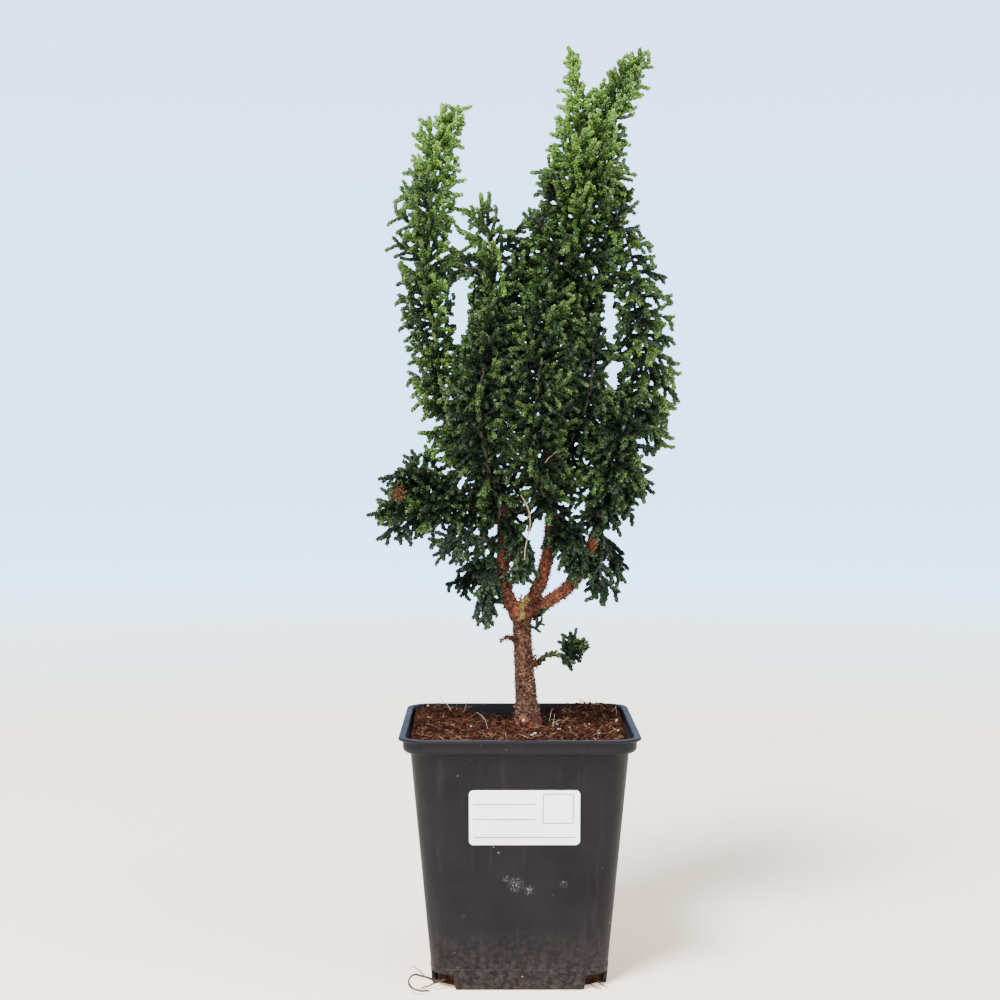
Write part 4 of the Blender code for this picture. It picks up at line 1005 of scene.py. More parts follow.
def bark_piece(routes, look):
    """Trunk, limbs, twigs and the knob by the soil, melted into one skin of rough bark."""
    bm = bmesh.new()
    for name, limb in WOOD.items():
        limb_tube(bm, routes[name], limb.radii, 0.0018, LIMB_SIDES, 0.002 if limb.parent else 0.0)
    lump = bmesh.ops.create_icosphere(bm, subdivisions=3, radius=1.0)["verts"]
    bmesh.ops.transform(bm, matrix=basis((0.0008, 0.0, 0.1685), (0, 0, 1), (1, 0, 0), 0.0056, 0.0060), verts=lump)
    knob = bmesh.ops.create_icosphere(bm, subdivisions=3, radius=KNOB_RADIUS)["verts"]
    bmesh.ops.translate(bm, vec=KNOB_PLACE, verts=knob)
    for number, (turn, out) in enumerate(((200, 0.0030), (320, 0.0034), (75, 0.0032), (140, 0.0028))):
        foot = bmesh.ops.create_icosphere(bm, subdivisions=2, radius=1.0)["verts"]
        angle = math.radians(turn)
        place = (0.0046 + out * math.cos(angle), out * math.sin(angle), 0.1135 - 0.0005 * number)
        bmesh.ops.transform(bm, matrix=basis(place, (0, 0, 1), (1, 0, 0), 0.0026, 0.0050), verts=foot)
    bmesh.ops.recalc_face_normals(bm, faces=bm.faces)
    obj = object_from_bmesh("bark", bm, look)
    melt = obj.modifiers.new("melt", "REMESH")
    melt.mode = "VOXEL"
    melt.voxel_size = BARK_VOXEL
    applied(obj)
    bm = bmesh.new()
    bm.from_mesh(obj.data)
    bmesh.ops.smooth_vert(bm, verts=bm.verts, factor=0.5, use_axis_x=True, use_axis_y=True, use_axis_z=True)
    bm.normal_update()
    red, orange = [], []
    for vert in bm.verts:
        vert.co += vert.normal * surface_roughness(vert.co)
        x, _, z = vert.co
        red.append(ease(0.160, 0.172, z) * 0.95 + 0.35 * ease(0.130, 0.114, z))
        low = ease(0.142, 0.126, z) * ease(-0.001, 0.007, x - 0.0035)
        orange.append(max(low, 0.75 * ease(0.121, 0.116, z), 0.55 * ease(0.165, 0.172, z)))
    bm.to_mesh(obj.data)
    bm.free()
    set_values(obj, "red", red)
    set_values(obj, "orange", orange)
    smooth(obj, 50)
    return settle(obj, "bark", "trunk_and_limbs")


def flake_template():
    """A dead scale: a flattened three-sided spike."""
    bm = bmesh.new()
    bmesh.ops.create_cone(bm, segments=3, radius1=1.0, radius2=0.0, depth=1.0, cap_ends=True)
    bmesh.ops.translate(bm, vec=(0.0, 0.0, 0.5), verts=bm.verts)
    bmesh.ops.scale(bm, vec=(0.5, 1.0, 1.0), verts=bm.verts)
    mesh = bpy.data.meshes.new("flake")
    bm.to_mesh(mesh)
    bm.free()
    return mesh


def dead_scales_piece(routes, look):
    """The dead scale leaves that bristle on the limbs and lie flatter on the trunk."""
    template = flake_template()
    points = len(template.vertices)
    bm = bmesh.new()
    tones = []
    for name, (count, low, high, length) in FLAKES.items():
        rng = random.Random(name + " flakes")
        route, radii = routes[name], WOOD[name].radii
        on_trunk = name == "trunk"
        for index in range(count):
            share = low + (high - low) * (index + rng.random()) / count
            along, side, other = frame_at(route, share)
            turn = index * GOLDEN_TURN + rng.uniform(-0.5, 0.5)
            away = side * math.cos(turn) + other * math.sin(turn)
            forward = rng.uniform(0.5, 3.0) if on_trunk else rng.uniform(0.0, 1.1)
            around = np.cross(along, away) * rng.uniform(-0.6, 0.6)
            foot = route.at(share) + away * read_along(radii, share) * 0.93
            heading = unit(away + along * forward * (-1.0 if on_trunk and rng.random() < 0.35 else 1.0) + around)
            size = length * rng.uniform(0.6, 1.5)
            width = FLAKE_WIDTH * rng.uniform(0.55, 1.2)
            curl = on_trunk and rng.random() < 0.13
            if curl:
                heading = unit(away * 0.35 + np.cross(along, away) * rng.choice((-1.0, 1.0)) + along * rng.uniform(-0.7, 0.7))
                size, width = 1.7 * size, 0.4 * width
            place_copy(bm, template, basis(foot, heading, away, width, size))
            tone = rng.uniform(0.75, 1.0) if curl else rng.uniform(0.0, 0.8) ** 1.4 if on_trunk else rng.uniform(0.1, 0.95)
            tones += [tone] * points
    obj = object_from_bmesh("dead_scales", bm, look)
    set_values(obj, "tone", tones)
    bpy.data.meshes.remove(template)
    return settle(obj, "bark")


def twig_leaves_piece(route, look):
    """Short leafy cords round the green twig."""
    rng = random.Random("green twig")
    template = cord_template(3, 0.22)
    bm = bmesh.new()
    fresh, tips = [], []
    for index in range(20):
        share = 0.22 + 0.74 * index / 19
        along, side, other = frame_at(route, share)
        turn = index * GOLDEN_TURN
        away = side * math.cos(turn) + other * math.sin(turn)
        heading = unit(along * 0.75 + away * 0.8)
        place_copy(bm, template.mesh, basis(route.at(share), heading, along, 0.62, rng.uniform(0.55, 0.85)))
        fresh += [blend(0.15, 0.42, share)] * len(template.tips)
        tips += template.tips
    obj = object_from_bmesh("twig_leaves", bm, look)
    set_values(obj, "fresh", fresh)
    set_values(obj, "leaf_tip", tips)
    bpy.data.meshes.remove(template.mesh)
    return settle(obj, "foliage")


def knob_wood_piece(look):
    """The pale cut face of the knob by the soil."""
    bm = bmesh.new()
    bmesh.ops.create_icosphere(bm, subdivisions=2, radius=0.00075)
    bmesh.ops.scale(bm, vec=(1.0, 0.45, 1.25), verts=bm.verts)
    x, y, z = KNOB_PLACE
    for vert in bm.verts:
        vert.co *= 1.0 + 0.18 * noise.noise(vert.co * 1600)
    bmesh.ops.translate(bm, vec=(x - 0.0004, y - 0.0021, z + 0.0007), verts=bm.verts)
    obj = object_from_bmesh("knob_wood", bm, look)
    smooth(obj, 60)
    return settle(obj, "bark")


# Soil

def soil_height(x, y):
    height = SOIL_LEVEL
    for mound_x, mound_y, radius, rise in SOIL_MOUNDS:
        height += rise * math.exp(-((x - mound_x) ** 2 + (y - mound_y) ** 2) / radius**2)
    return height + 0.0007 * noise.noise(Vector((x, y, 0.0)) / 0.008)


def crumbly(x, y):
    """The soil's surface with its crumbs."""
    coarse = noise.noise(Vector((x * 210, y * 210, 4.0)))
    fine = noise.noise(Vector((x * 620, y * 620, 9.0)))
    rise = 0.0018 * math.exp(-((x - 0.036) ** 2 + (y - 0.040) ** 2) / 0.016**2)
    dip = 0.0026 * math.exp(-((x + 0.012) ** 2 + (y - 0.042) ** 2) / 0.018**2)
    return soil_height(x, y) + rise - dip + 0.0020 * coarse + 0.0014 * fine


def round_corner(x, y, half, corner):
    """Moves a point of a square in to the square's round corner."""
    over_x, over_y = abs(x) - (half - corner), abs(y) - (half - corner)
    over = math.hypot(over_x, over_y)
    if min(over_x, over_y) > 0 and over > corner:
        x = math.copysign(half - corner + over_x * corner / over, x)
        y = math.copysign(half - corner + over_y * corner / over, y)
    return x, y


def soil_piece(look):
    """The root ball with its crumbly top."""
    bm = bmesh.new()
    bmesh.ops.create_grid(bm, x_segments=SOIL_SQUARES, y_segments=SOIL_SQUARES, size=SOIL_HALF)
    rim = [edge for edge in bm.edges if edge.is_boundary]
    for vert in bm.verts:
        x, y = vert.co.x, vert.co.y
        reach = max(abs(x), abs(y)) / SOIL_HALF
        if reach > 0:
            rim_x, rim_y = round_corner(x / reach, y / reach, SOIL_HALF, SOIL_CORNER)
            x, y = rim_x * reach, rim_y * reach
        vert.co = (x, y, crumbly(x, y))
    inside = WALL + 0.0003
    wide = SOIL_HALF
    for height in (COLLAR_BOTTOM + 0.0008, COLLAR_BOTTOM - 0.0008, 0.05, 0.012, inside):
        half = wall_half(height) - inside + (0.0006 if height > COLLAR_BOTTOM else 0.0)
        grown = bmesh.ops.extrude_edge_only(bm, edges=rim)["geom"]
        for vert in grown_verts(grown):
            x, y = round_corner(vert.co.x * half / wide, vert.co.y * half / wide, half, 0.015)
            vert.co = (x, y, height)
        rim = open_rim(grown)
        wide = half
    bmesh.ops.edgeloop_fill(bm, edges=rim)
    bmesh.ops.recalc_face_normals(bm, faces=bm.faces)
    return settle(object_from_bmesh("soil_block", bm, look), "potting_soil", "soil")


def fibre_template(bend):
    """A short bent strand, three-sided and thin at both ends."""
    bm = bmesh.new()
    bmesh.ops.create_cone(bm, segments=3, radius1=0.6, radius2=0.6, depth=1.0, cap_ends=True)
    bmesh.ops.translate(bm, vec=(0.0, 0.0, 0.5), verts=bm.verts)
    long_edges = [edge for edge in bm.edges if abs(edge.verts[0].co.z - edge.verts[1].co.z) > 0.5]
    bmesh.ops.subdivide_edges(bm, edges=long_edges, cuts=2)
    for vert in bm.verts:
        z = vert.co.z
        narrow = 1.0 if 0.1 < z < 0.9 else 0.35
        vert.co.x = vert.co.x * narrow + bend * 4.0 * z * (1.0 - z)
        vert.co.y *= narrow
    mesh = bpy.data.meshes.new("fibre")
    bm.to_mesh(mesh)
    bm.free()
    return mesh


def crumb_template(seed):
    """An angular crumb."""
    rng = random.Random(seed)
    bm = bmesh.new()
    bmesh.ops.create_icosphere(bm, subdivisions=1, radius=1.0)
    for vert in bm.verts:
        vert.co *= rng.uniform(0.6, 1.2)
    mesh = bpy.data.meshes.new("crumb")
    bm.to_mesh(mesh)
    bm.free()
    return mesh


def soil_spot(rng, margin=0.0012):
    """A seeded place on the soil, off the trunk."""
    while True:
        half = SOIL_HALF - margin
        x, y = rng.uniform(-half, half), rng.uniform(-half, half)
        x, y = round_corner(x, y, half, SOIL_CORNER)
        if math.hypot(x - 0.0046, y) > 0.0068:
            return x, y


def scatter(name, seed, count, templates, size, look, slot, lift=0.0, slope=0.35, tone=(0.0, 1.0)):
    """Strews small pieces over the soil. size holds the thickness range and the length range."""
    rng = random.Random(seed)
    bm = bmesh.new()
    tones = []
    for _ in range(count):
        template = rng.choice(templates)
        x, y = soil_spot(rng)
        turn = rng.uniform(0.0, math.tau)
        heading = np.array([math.cos(turn), math.sin(turn), rng.uniform(-slope, slope)])
        thick, length = rng.uniform(*size[0]), rng.uniform(*size[1])
        place = np.array([x, y, crumbly(x, y) + lift * rng.uniform(0.2, 1.0)])
        matrix = basis(place, heading, (0, 0, rng.choice((-1, 1))), thick, length)
        copy = template.copy()
        copy.transform(matrix)
        if keep_in_pot(copy):
            bm.from_mesh(copy)
            tones += [rng.uniform(*tone)] * len(copy.vertices)
        bpy.data.meshes.remove(copy)
    obj = object_from_bmesh(name, bm, look)
    set_values(obj, "tone", tones)
    return settle(obj, slot)


def keep_in_pot(mesh):
    half = SOIL_HALF - 0.0006
    for vert in mesh.vertices:
        x, y = vert.co.x, vert.co.y
        if round_corner(x, y, half, SOIL_CORNER) != (x, y) or max(abs(x), abs(y)) > half:
            return False
    return True


# Pot and label

def wall_half(height):
    return FOOT_HALF + (SHOULDER_HALF - FOOT_HALF) * height / COLLAR_BOTTOM


def rounded_square(half, corner):
    """The points of a square with round corners, counter-clockwise from +X."""
    points = []
    for quarter in range(4):
        for step in range(CORNER_STEPS + 1):
            angle = math.radians(90 * (quarter + step / CORNER_STEPS))
            turn = math.radians(90 * quarter + 45)
            middle = (half - corner) * math.sqrt(2)
            points.append((middle * math.cos(turn) + corner * math.cos(angle),
                           middle * math.sin(turn) + corner * math.sin(angle)))
    return points


def pot_levels():
    """The pot's skin: underside, outside, over the lip and down to the inner floor, as height and half width."""
    line = 0.00022
    outer = [(0.0, FOOT_HALF - 0.0005), (0.00015, FOOT_HALF - 0.00012), (0.0006, wall_half(0.0006) + line),
             (MOULD_LINE, wall_half(MOULD_LINE) + line), (MOULD_LINE + 0.0003, wall_half(MOULD_LINE)),
             (0.04, wall_half(0.04)), (0.075, wall_half(0.075)), (COLLAR_BOTTOM - 0.001, wall_half(0.1085)),
             (COLLAR_BOTTOM, SHOULDER_HALF + 0.0003)]
    middle = COLLAR_HALF - COLLAR_ROUND
    for degrees in (-62, -45, -28, -12, 0):
        angle = math.radians(degrees)
        height = COLLAR_BOTTOM + COLLAR_ROUND * (1 + math.sin(angle))
        outer.append((height, middle + COLLAR_ROUND * math.cos(angle)))
    lip_bottom = POT_HEIGHT - LIP_THICKNESS
    outer += [(lip_bottom - 0.0009, COLLAR_HALF), (lip_bottom - 0.0002, COLLAR_HALF + 0.0004),
              (lip_bottom, COLLAR_HALF + 0.0009)]
    round_half = LIP_THICKNESS / 2
    for degrees in (-90, -55, -20, 20, 55, 90):
        angle = math.radians(degrees)
        outer.append((lip_bottom + round_half * (1 + math.sin(angle)),
                      LIP_HALF - round_half * (1 - math.cos(angle))))
    inner_half = COLLAR_HALF - WALL
    inner = [(POT_HEIGHT, inner_half + 0.0006), (POT_HEIGHT - 0.0002, inner_half + 0.00015),
             (POT_HEIGHT - 0.0007, inner_half), (COLLAR_BOTTOM + COLLAR_ROUND, inner_half),
             (COLLAR_BOTTOM, SHOULDER_HALF - WALL), (WALL, wall_half(WALL) - WALL)]
    levels = []
    for height, half in outer + inner:
        corner = min(half + FOOT_CORNER - FOOT_HALF, COLLAR_CORNER) if height > COLLAR_BOTTOM else FOOT_CORNER
        levels.append((height, half, corner))
    return levels


def draw_up(bm, levels):
    """A closed skin through round-cornered squares, drawn out from the first one."""
    layer = bm.verts.layers.int.new("corner")
    count = 4 * (CORNER_STEPS + 1)
    verts = bmesh.ops.create_circle(bm, segments=count, radius=1.0, cap_ends=True)["verts"]
    for number, vert in enumerate(verts):
        vert[layer] = number
    rim = list({edge for vert in verts for edge in vert.link_edges})
    for number, (height, half, corner) in enumerate(levels):
        points = rounded_square(half, corner)
        for vert in verts:
            vert.co = (*points[vert[layer]], height)
        if number < len(levels) - 1:
            grown = bmesh.ops.extrude_edge_only(bm, edges=rim)["geom"]
            verts, rim = grown_verts(grown), open_rim(grown)
    bmesh.ops.edgeloop_fill(bm, edges=rim)
    bmesh.ops.recalc_face_normals(bm, faces=bm.faces)


def notch_cutter(quarter):
    bm = bmesh.new()
    bmesh.ops.create_cube(bm, size=1.0)
    for vert in bm.verts:
        top = vert.co.z > 0
        inner = NOTCH_INNER + (NOTCH_FLARE if top else 0.0)
        vert.co.x = 2 * FOOT_HALF if vert.co.x > 0 else inner
        vert.co.y = 2 * FOOT_HALF if vert.co.y > 0 else inner
        vert.co.z = NOTCH_HEIGHT if top else -NOTCH_HEIGHT
    bmesh.ops.rotate(bm, verts=bm.verts, cent=(0, 0, 0), matrix=Matrix.Rotation(math.radians(90 * quarter), 3, "Z"))
    return object_from_bmesh(f"notch_{quarter}", bm)


def pot_piece(look):
    """The nursery pot in one moulding, with its lip, collar, drainage notches and the pad inside its back."""
    bm = bmesh.new()
    draw_up(bm, pot_levels())
    pot = object_from_bmesh("nursery_pot", bm, look)
    cutters = [notch_cutter(quarter) for quarter in range(4)]
    for cutter in cutters:
        cut = pot.modifiers.new(cutter.name, "BOOLEAN")
        cut.operation = "DIFFERENCE"
        cut.object = cutter
    applied(pot)
    for cutter in cutters:
        bpy.data.meshes.remove(cutter.data)
    bm = bmesh.new()
    bm.from_mesh(pot.data)
    pad = bmesh.ops.create_cube(bm, size=1.0)["verts"]
    bmesh.ops.scale(bm, vec=PAD_SIZE, verts=pad)
    bmesh.ops.translate(bm, vec=PAD_PLACE, verts=pad)
    edges = list({edge for vert in pad for edge in vert.link_edges})
    bmesh.ops.bevel(bm, geom=edges, offset=0.0005, segments=3, profile=0.5, affect="EDGES", material=-1)
    bm.to_mesh(pot.data)
    bm.free()
    smooth(pot, 32)
    return settle(pot, "pot_plastic", "pot")


def label_matrix(stand_off):
    """From the label's own plane, middle at 0, to the leaning front wall."""
    slope = math.atan2(SHOULDER_HALF - FOOT_HALF, COLLAR_BOTTOM)
    x, z = LABEL_PLACE
    away = (LABEL_GAP + stand_off) / math.cos(slope)
    return Matrix.Translation((x, -wall_half(z) - away, z)) @ Matrix.Rotation(slope, 4, "X")


def label_piece(look):
    bm = bmesh.new()
    bmesh.ops.create_cube(bm, size=1.0)
    bmesh.ops.scale(bm, vec=(LABEL_WIDTH, LABEL_THICKNESS, LABEL_HEIGHT), verts=bm.verts)
    corners = [edge for edge in bm.edges if edge.verts[0].co.y != edge.verts[1].co.y]
    bmesh.ops.bevel(bm, geom=corners, offset=LABEL_CORNER, segments=8, profile=0.5, affect="EDGES", material=-1)
    rims = [edge for edge in bm.edges if edge.verts[0].co.y == edge.verts[1].co.y]
    bmesh.ops.bevel(bm, geom=rims, offset=0.00005, segments=2, profile=0.5, affect="EDGES", material=-1)
    bmesh.ops.transform(bm, matrix=label_matrix(LABEL_THICKNESS / 2), verts=bm.verts)
    obj = object_from_bmesh("sticker", bm, look)
    smooth(obj, 40)
    return settle(obj, "label_paper", "label")


def ruling_piece(look):
    """Write-on lines and an empty box, each a strip of ink on the sticker: middle across and up, width, height."""
    half = BOX_SIDE / 2
    box_x, box_z = 0.0152, 0.0042
    strips = [
        (-0.0090, 0.0062, 0.0285, RULE_THICKNESS), (-0.0090, -0.0008, 0.0285, RULE_THICKNESS),
        (0.0, -0.0092, 0.0455, RULE_THICKNESS),
        (box_x, box_z + half, BOX_SIDE, RULE_THICKNESS), (box_x, box_z - half, BOX_SIDE, RULE_THICKNESS),
        (box_x - half, box_z, RULE_THICKNESS, BOX_SIDE), (box_x + half, box_z, RULE_THICKNESS, BOX_SIDE),
    ]
    bm = bmesh.new()
    for across, up, width, height in strips:
        verts = bmesh.ops.create_cube(bm, size=1.0)["verts"]
        bmesh.ops.scale(bm, vec=(width, 0.00003, height), verts=verts)
        bmesh.ops.translate(bm, vec=(across, 0.0, up), verts=verts)
    bmesh.ops.transform(bm, matrix=label_matrix(LABEL_THICKNESS + 0.000012), verts=bm.verts)
    return settle(object_from_bmesh("sticker_ruling", bm, look), "label_paper")


# Small loose things: points and radii

STRAWS = {
    "pale_straw": ([(0.0006, -0.0308, 0.2258), (0.0029, -0.0275, 0.2215), (0.0049, -0.0235, 0.2163), (0.0045, -0.0205, 0.2092), (0.0031, -0.0190, 0.2021), (0.0022, -0.0182, 0.1951)], (0.00032, 0.00030, 0.00022)),
    "straw_fork": ([(0.0049, -0.0235, 0.2163), (0.0026, -0.0195, 0.2137), (-0.0001, -0.0150, 0.2149)], (0.00018, 0.00012)),
    "grey_twig": ([(0.0117, -0.0240, 0.2407), (0.0148, -0.0280, 0.2440), (0.0173, -0.0335, 0.2463)], (0.00024, 0.0002, 0.00015)),
}
STALKS = {  # thin stalks that stand in the soil or lean over the rim
    "stalk_left": ([(-0.0314, 0.030, 0.1140), (-0.0339, 0.034, 0.1182), (-0.0385, 0.038, 0.1226)], (0.00018, 0.00012)),
    "stalk_white": ([(-0.0270, 0.034, 0.1150), (-0.0256, 0.037, 0.1193), (-0.0241, 0.040, 0.1228)], (0.000132, 9e-05)),
    "stalk_arch": ([(-0.0225, 0.028, 0.1150), (-0.0195, 0.018, 0.1178), (-0.0165, 0.006, 0.1172), (-0.0146, -0.004, 0.1140)],
                   (0.00015, 0.00012)),
    "stalk_behind": ([(0.0148, 0.010, 0.1150), (0.0157, 0.011, 0.1190), (0.0167, 0.012, 0.1208)], (0.000168, 0.00012)),
    "stalk_trunk": ([(0.0162, -0.004, 0.1145), (0.0167, -0.003, 0.1184), (0.0172, -0.002, 0.1206)], (0.000168, 0.00012)),
    "stalk_green": ([(0.0235, -0.012, 0.1165), (0.0243, -0.014, 0.1152), (0.0247, -0.015, 0.1130)], (0.00015, 0.00012)),
    "stalk_right": ([(0.0360, -0.030, 0.1135), (0.0361, -0.029, 0.1157), (0.0362, -0.027, 0.1173)], (0.00015, 0.00012)),
    "stalk_corner": ([(0.0480, 0.025, 0.1150), (0.0482, 0.026, 0.1180), (0.0480, 0.028, 0.1197)], (0.00015, 0.00012)),
    "stalk_front": ([(-0.0058, -0.040, 0.1140), (-0.0063, -0.040, 0.1172), (-0.0067, -0.038, 0.1182)], (0.000132, 0.000108)),
}
ROOTS = {
    "root_curl": ([(-0.0310, -0.0330, 0.0040), (-0.0370, -0.0400, 0.0042), (-0.0420, -0.0430, 0.0066), (-0.0480, -0.0420, 0.0078),
                   (-0.0505, -0.0440, 0.0050), (-0.0470, -0.0470, 0.0022), (-0.0410, -0.0460, 0.0014)], (0.0006, 0.0005, 0.0004)),
    "root_left": ([(-0.0330, -0.0320, 0.0030), (-0.0400, -0.0370, 0.0016), (-0.0450, -0.0400, 0.0009)], (0.0005, 0.0003)),
    "root_fork": ([(-0.0425, -0.0430, 0.0066), (-0.0470, -0.0400, 0.0100), (-0.0490, -0.0390, 0.0108)], (0.0003, 0.0002)),
    "root_right": ([(0.0320, -0.0330, 0.0040), (0.0370, -0.0370, 0.0020), (0.0400, -0.0390, 0.0008)], (0.0004, 0.00025)),
    "root_right_low": ([(0.0310, -0.0350, 0.0020), (0.0350, -0.0390, 0.0010), (0.0370, -0.0400, 0.0007)], (0.0003, 0.0002)),
}


def strand_piece(name, points, radii, look, slot, step=0.0008):
    bm = bmesh.new()
    limb_tube(bm, Route(points), radii, step, 6)
    for vert in bm.verts:
        vert.co += Vector(noise.noise_vector(vert.co * 260)) * 0.00045
    bmesh.ops.recalc_face_normals(bm, faces=bm.faces)
    obj = object_from_bmesh(name, bm, look)
    smooth(obj, 60)
    return settle(obj, slot)


def clump_piece(name, seed, count, middle, spread, size, templates, look, slot):
    """A few small bits together at one place."""
    rng = random.Random(seed)
    bm = bmesh.new()
    tones = []
    for _ in range(count):
        place = np.array([middle[axis] + rng.gauss(0.0, spread[axis]) for axis in range(3)])
        heading = np.array([rng.uniform(-1, 1), rng.uniform(-1, 1), rng.uniform(-0.6, 1)])
        template = rng.choice(templates)
        place_copy(bm, template, basis(place, heading, (0.2, 1, 0.1), size * rng.uniform(0.5, 1.2), size * rng.uniform(0.6, 1.6)))
        tones += [rng.uniform(0.05, 0.62)] * len(template.vertices)
    obj = object_from_bmesh(name, bm, look)
    set_values(obj, "tone", tones)
    return settle(obj, slot)


# Add-on

class LeafSettings(bpy.types.PropertyGroup):
    cord_width: FloatProperty(name="Cord width", description="Width of the leafy cords against the real ones", default=0.92)
    old_leaf: FloatVectorProperty(name="Old leaves", description="Colour of the old scale leaves", subtype="COLOR",
                                  default=(0.023, 0.043, 0.013))
    leaf: FloatVectorProperty(name="Leaves", description="Colour of the grown scale leaves", subtype="COLOR",
                              default=(0.078, 0.130, 0.033))
    young_leaf: FloatVectorProperty(name="Young leaves", description="Colour of new growth at the tips", subtype="COLOR",
                                    default=(0.25, 0.43, 0.070))


class PotSettings(bpy.types.PropertyGroup):
    plastic: FloatVectorProperty(name="Plastic", description="Colour of the pot", subtype="COLOR",
                                 default=(0.0060, 0.0056, 0.0064))
    paper: FloatVectorProperty(name="Sticker", description="Colour of the sticker's paper", subtype="COLOR",
                               default=(0.90, 0.83, 0.84))


class SoilSettings(bpy.types.PropertyGroup):
    soil: FloatVectorProperty(name="Soil", description="Colour of the potting mix", subtype="COLOR",
                              default=(0.018, 0.007, 0.004))
    fibres: IntProperty(name="Fibres", description="How many coir fibres lie on the soil", default=2700)
    crumbs: IntProperty(name="Crumbs", description="How many crumbs of bark lie on the soil", default=1100)


class StageSettings(bpy.types.PropertyGroup):
    key_power: FloatProperty(name="Key light", description="Power of the large front light", unit="POWER", default=130.0)
    fill_power: FloatProperty(name="Fill light", description="Power of the light from the right", unit="POWER", default=26.0)
    sky: FloatProperty(name="Surroundings", description="Brightness of the surroundings", default=4.2)


class BONSAI_OT_foliage(bpy.types.Operator):
    """Grow the leafy cords of every leafy stem"""

    bl_idname = "bonsai.foliage"
    bl_label = "Leafy stems"

    def execute(self, context):
        settings = context.scene.bonsai_leaves
        routes = all_routes()
        templates = {
            (rings, bend): cord_template(rings, bend)
            for rings in CORD_RINGS for bend in CORD_BENDS
        }
        leaves, stems = leaf_look(settings), stem_look()
        buds = plain_look("bud_scales", (0.045, 0.032, 0.005), (0.19, 0.145, 0.020), 0.6, 700.0)
        for name, stem in LEAFY_STEMS.items():
            looks = (buds, buds) if name == "fork_buds" else (leaves, stems)
            foliage_piece(name, stem, routes[name], templates, looks, settings)
        for template in templates.values():
            bpy.data.meshes.remove(template.mesh)
        return {"FINISHED"}


class BONSAI_OT_wood(bpy.types.Operator):
    """Model the bark of trunk and limbs, with its dead scales"""

    bl_idname = "bonsai.wood"
    bl_label = "Bark"

    def execute(self, context):
        routes = all_routes()
        bark_piece(routes, bark_look())
        dead_scales_piece(routes, dead_leaf_look())
        knob_wood_piece(plain_look("cut_wood", (0.50, 0.36, 0.26), (0.24, 0.10, 0.05), 0.7, 700.0))
        return {"FINISHED"}


class BONSAI_OT_pot(bpy.types.Operator):
    """Mould the nursery pot and stick its blank label on"""

    bl_idname = "bonsai.pot"
    bl_label = "Pot and sticker"

    def execute(self, context):
        settings = context.scene.bonsai_pot
        pot_piece(plastic_look(settings))
        label_piece(paper_look(settings))
        ruling_piece(ink_look())
        return {"FINISHED"}


class BONSAI_OT_soil(bpy.types.Operator):
    """Fill the pot with potting mix and strew fibres, crumbs, perlite and moss on it"""

    bl_idname = "bonsai.soil"
    bl_label = "Soil"

    def execute(self, context):
        settings = context.scene.bonsai_soil
        fibres = [fibre_template(bend) for bend in (-0.22, 0.1, 0.35)]
        crumbs = [crumb_template(seed) for seed in range(4)]
        fibre = fibre_look()
        soil_piece(soil_look(settings))
        scatter("coir_fibres", "coir", settings.fibres, fibres, ((0.00010, 0.00030), (0.0014, 0.0050)), fibre,
                "potting_soil", 0.0016, 0.8, (0.10, 1.0))
        scatter("long_fibres", "long", 110, fibres, ((0.00009, 0.00018), (0.005, 0.011)), fibre,
                "potting_soil", 0.0022, 0.4, (0.7, 1.0))
        scatter("bark_crumbs", "crumbs", settings.crumbs, crumbs, ((0.0003, 0.0011), (0.0004, 0.0016)), fibre,
                "potting_soil", 0.0007, 0.5, (0.0, 0.72))
        perlite = plain_look("perlite", (0.20, 0.18, 0.14), (0.50, 0.48, 0.42), 0.8, 1500.0)
        scatter("perlite_grains", "perlite", 26, crumbs, ((0.0004, 0.0009), (0.0004, 0.0010)), perlite,
                "potting_soil", 0.0012, 0.5)
        moss = plain_look("moss", (0.03, 0.045, 0.012), (0.12, 0.12, 0.03), 0.8, 1500.0)
        scatter("moss_bits", "moss", 70, fibres, ((0.0002, 0.0004), (0.0008, 0.0022)), moss, "potting_soil", 0.0012, 1.2)
        for template in fibres + crumbs:
            bpy.data.meshes.remove(template)
        return {"FINISHED"}


class BONSAI_OT_bits(bpy.types.Operator):
    """Add roots at the foot, stalks on the soil and dead bits in the crown"""

    bl_idname = "bonsai.bits"
    bl_label = "Loose bits"

    def execute(self, context):
        straw = plain_look("dead_straw", (0.20, 0.11, 0.06), (0.36, 0.24, 0.16), 0.7)
        stalk = plain_look("dry_stalks", (0.09, 0.08, 0.045), (0.26, 0.24, 0.19), 0.7)
        root = plain_look("dark_roots", (0.014, 0.008, 0.006), (0.045, 0.026, 0.019), 0.7)
        for name, (points, radii) in STRAWS.items():
            strand_piece(name, points, radii, straw, "bark")
        for name, (points, radii) in STALKS.items():
            strand_piece(name, points, radii, stalk, "potting_soil")
        for name, (points, radii) in ROOTS.items():
            strand_piece(name, points, radii, root, "potting_soil")
        dead = dead_leaf_look()
        flake = flake_template()
        twig_leaves_piece(all_routes()["green_twig"], leaf_look(context.scene.bonsai_leaves))
        clump_piece("dead_tuft", "dead tuft", 170, (-0.0560, -0.0212, 0.2258), (0.0011, 0.0009, 0.0018), 0.0006, [flake],
                    dead, "bark")
        clump_piece("bracts", "bracts", 40, (0.0078, -0.0050, 0.1464), (0.0008, 0.0008, 0.0022), 0.0010, [flake],
                    dead, "bark")
        bpy.data.meshes.remove(flake)
        return {"FINISHED"}


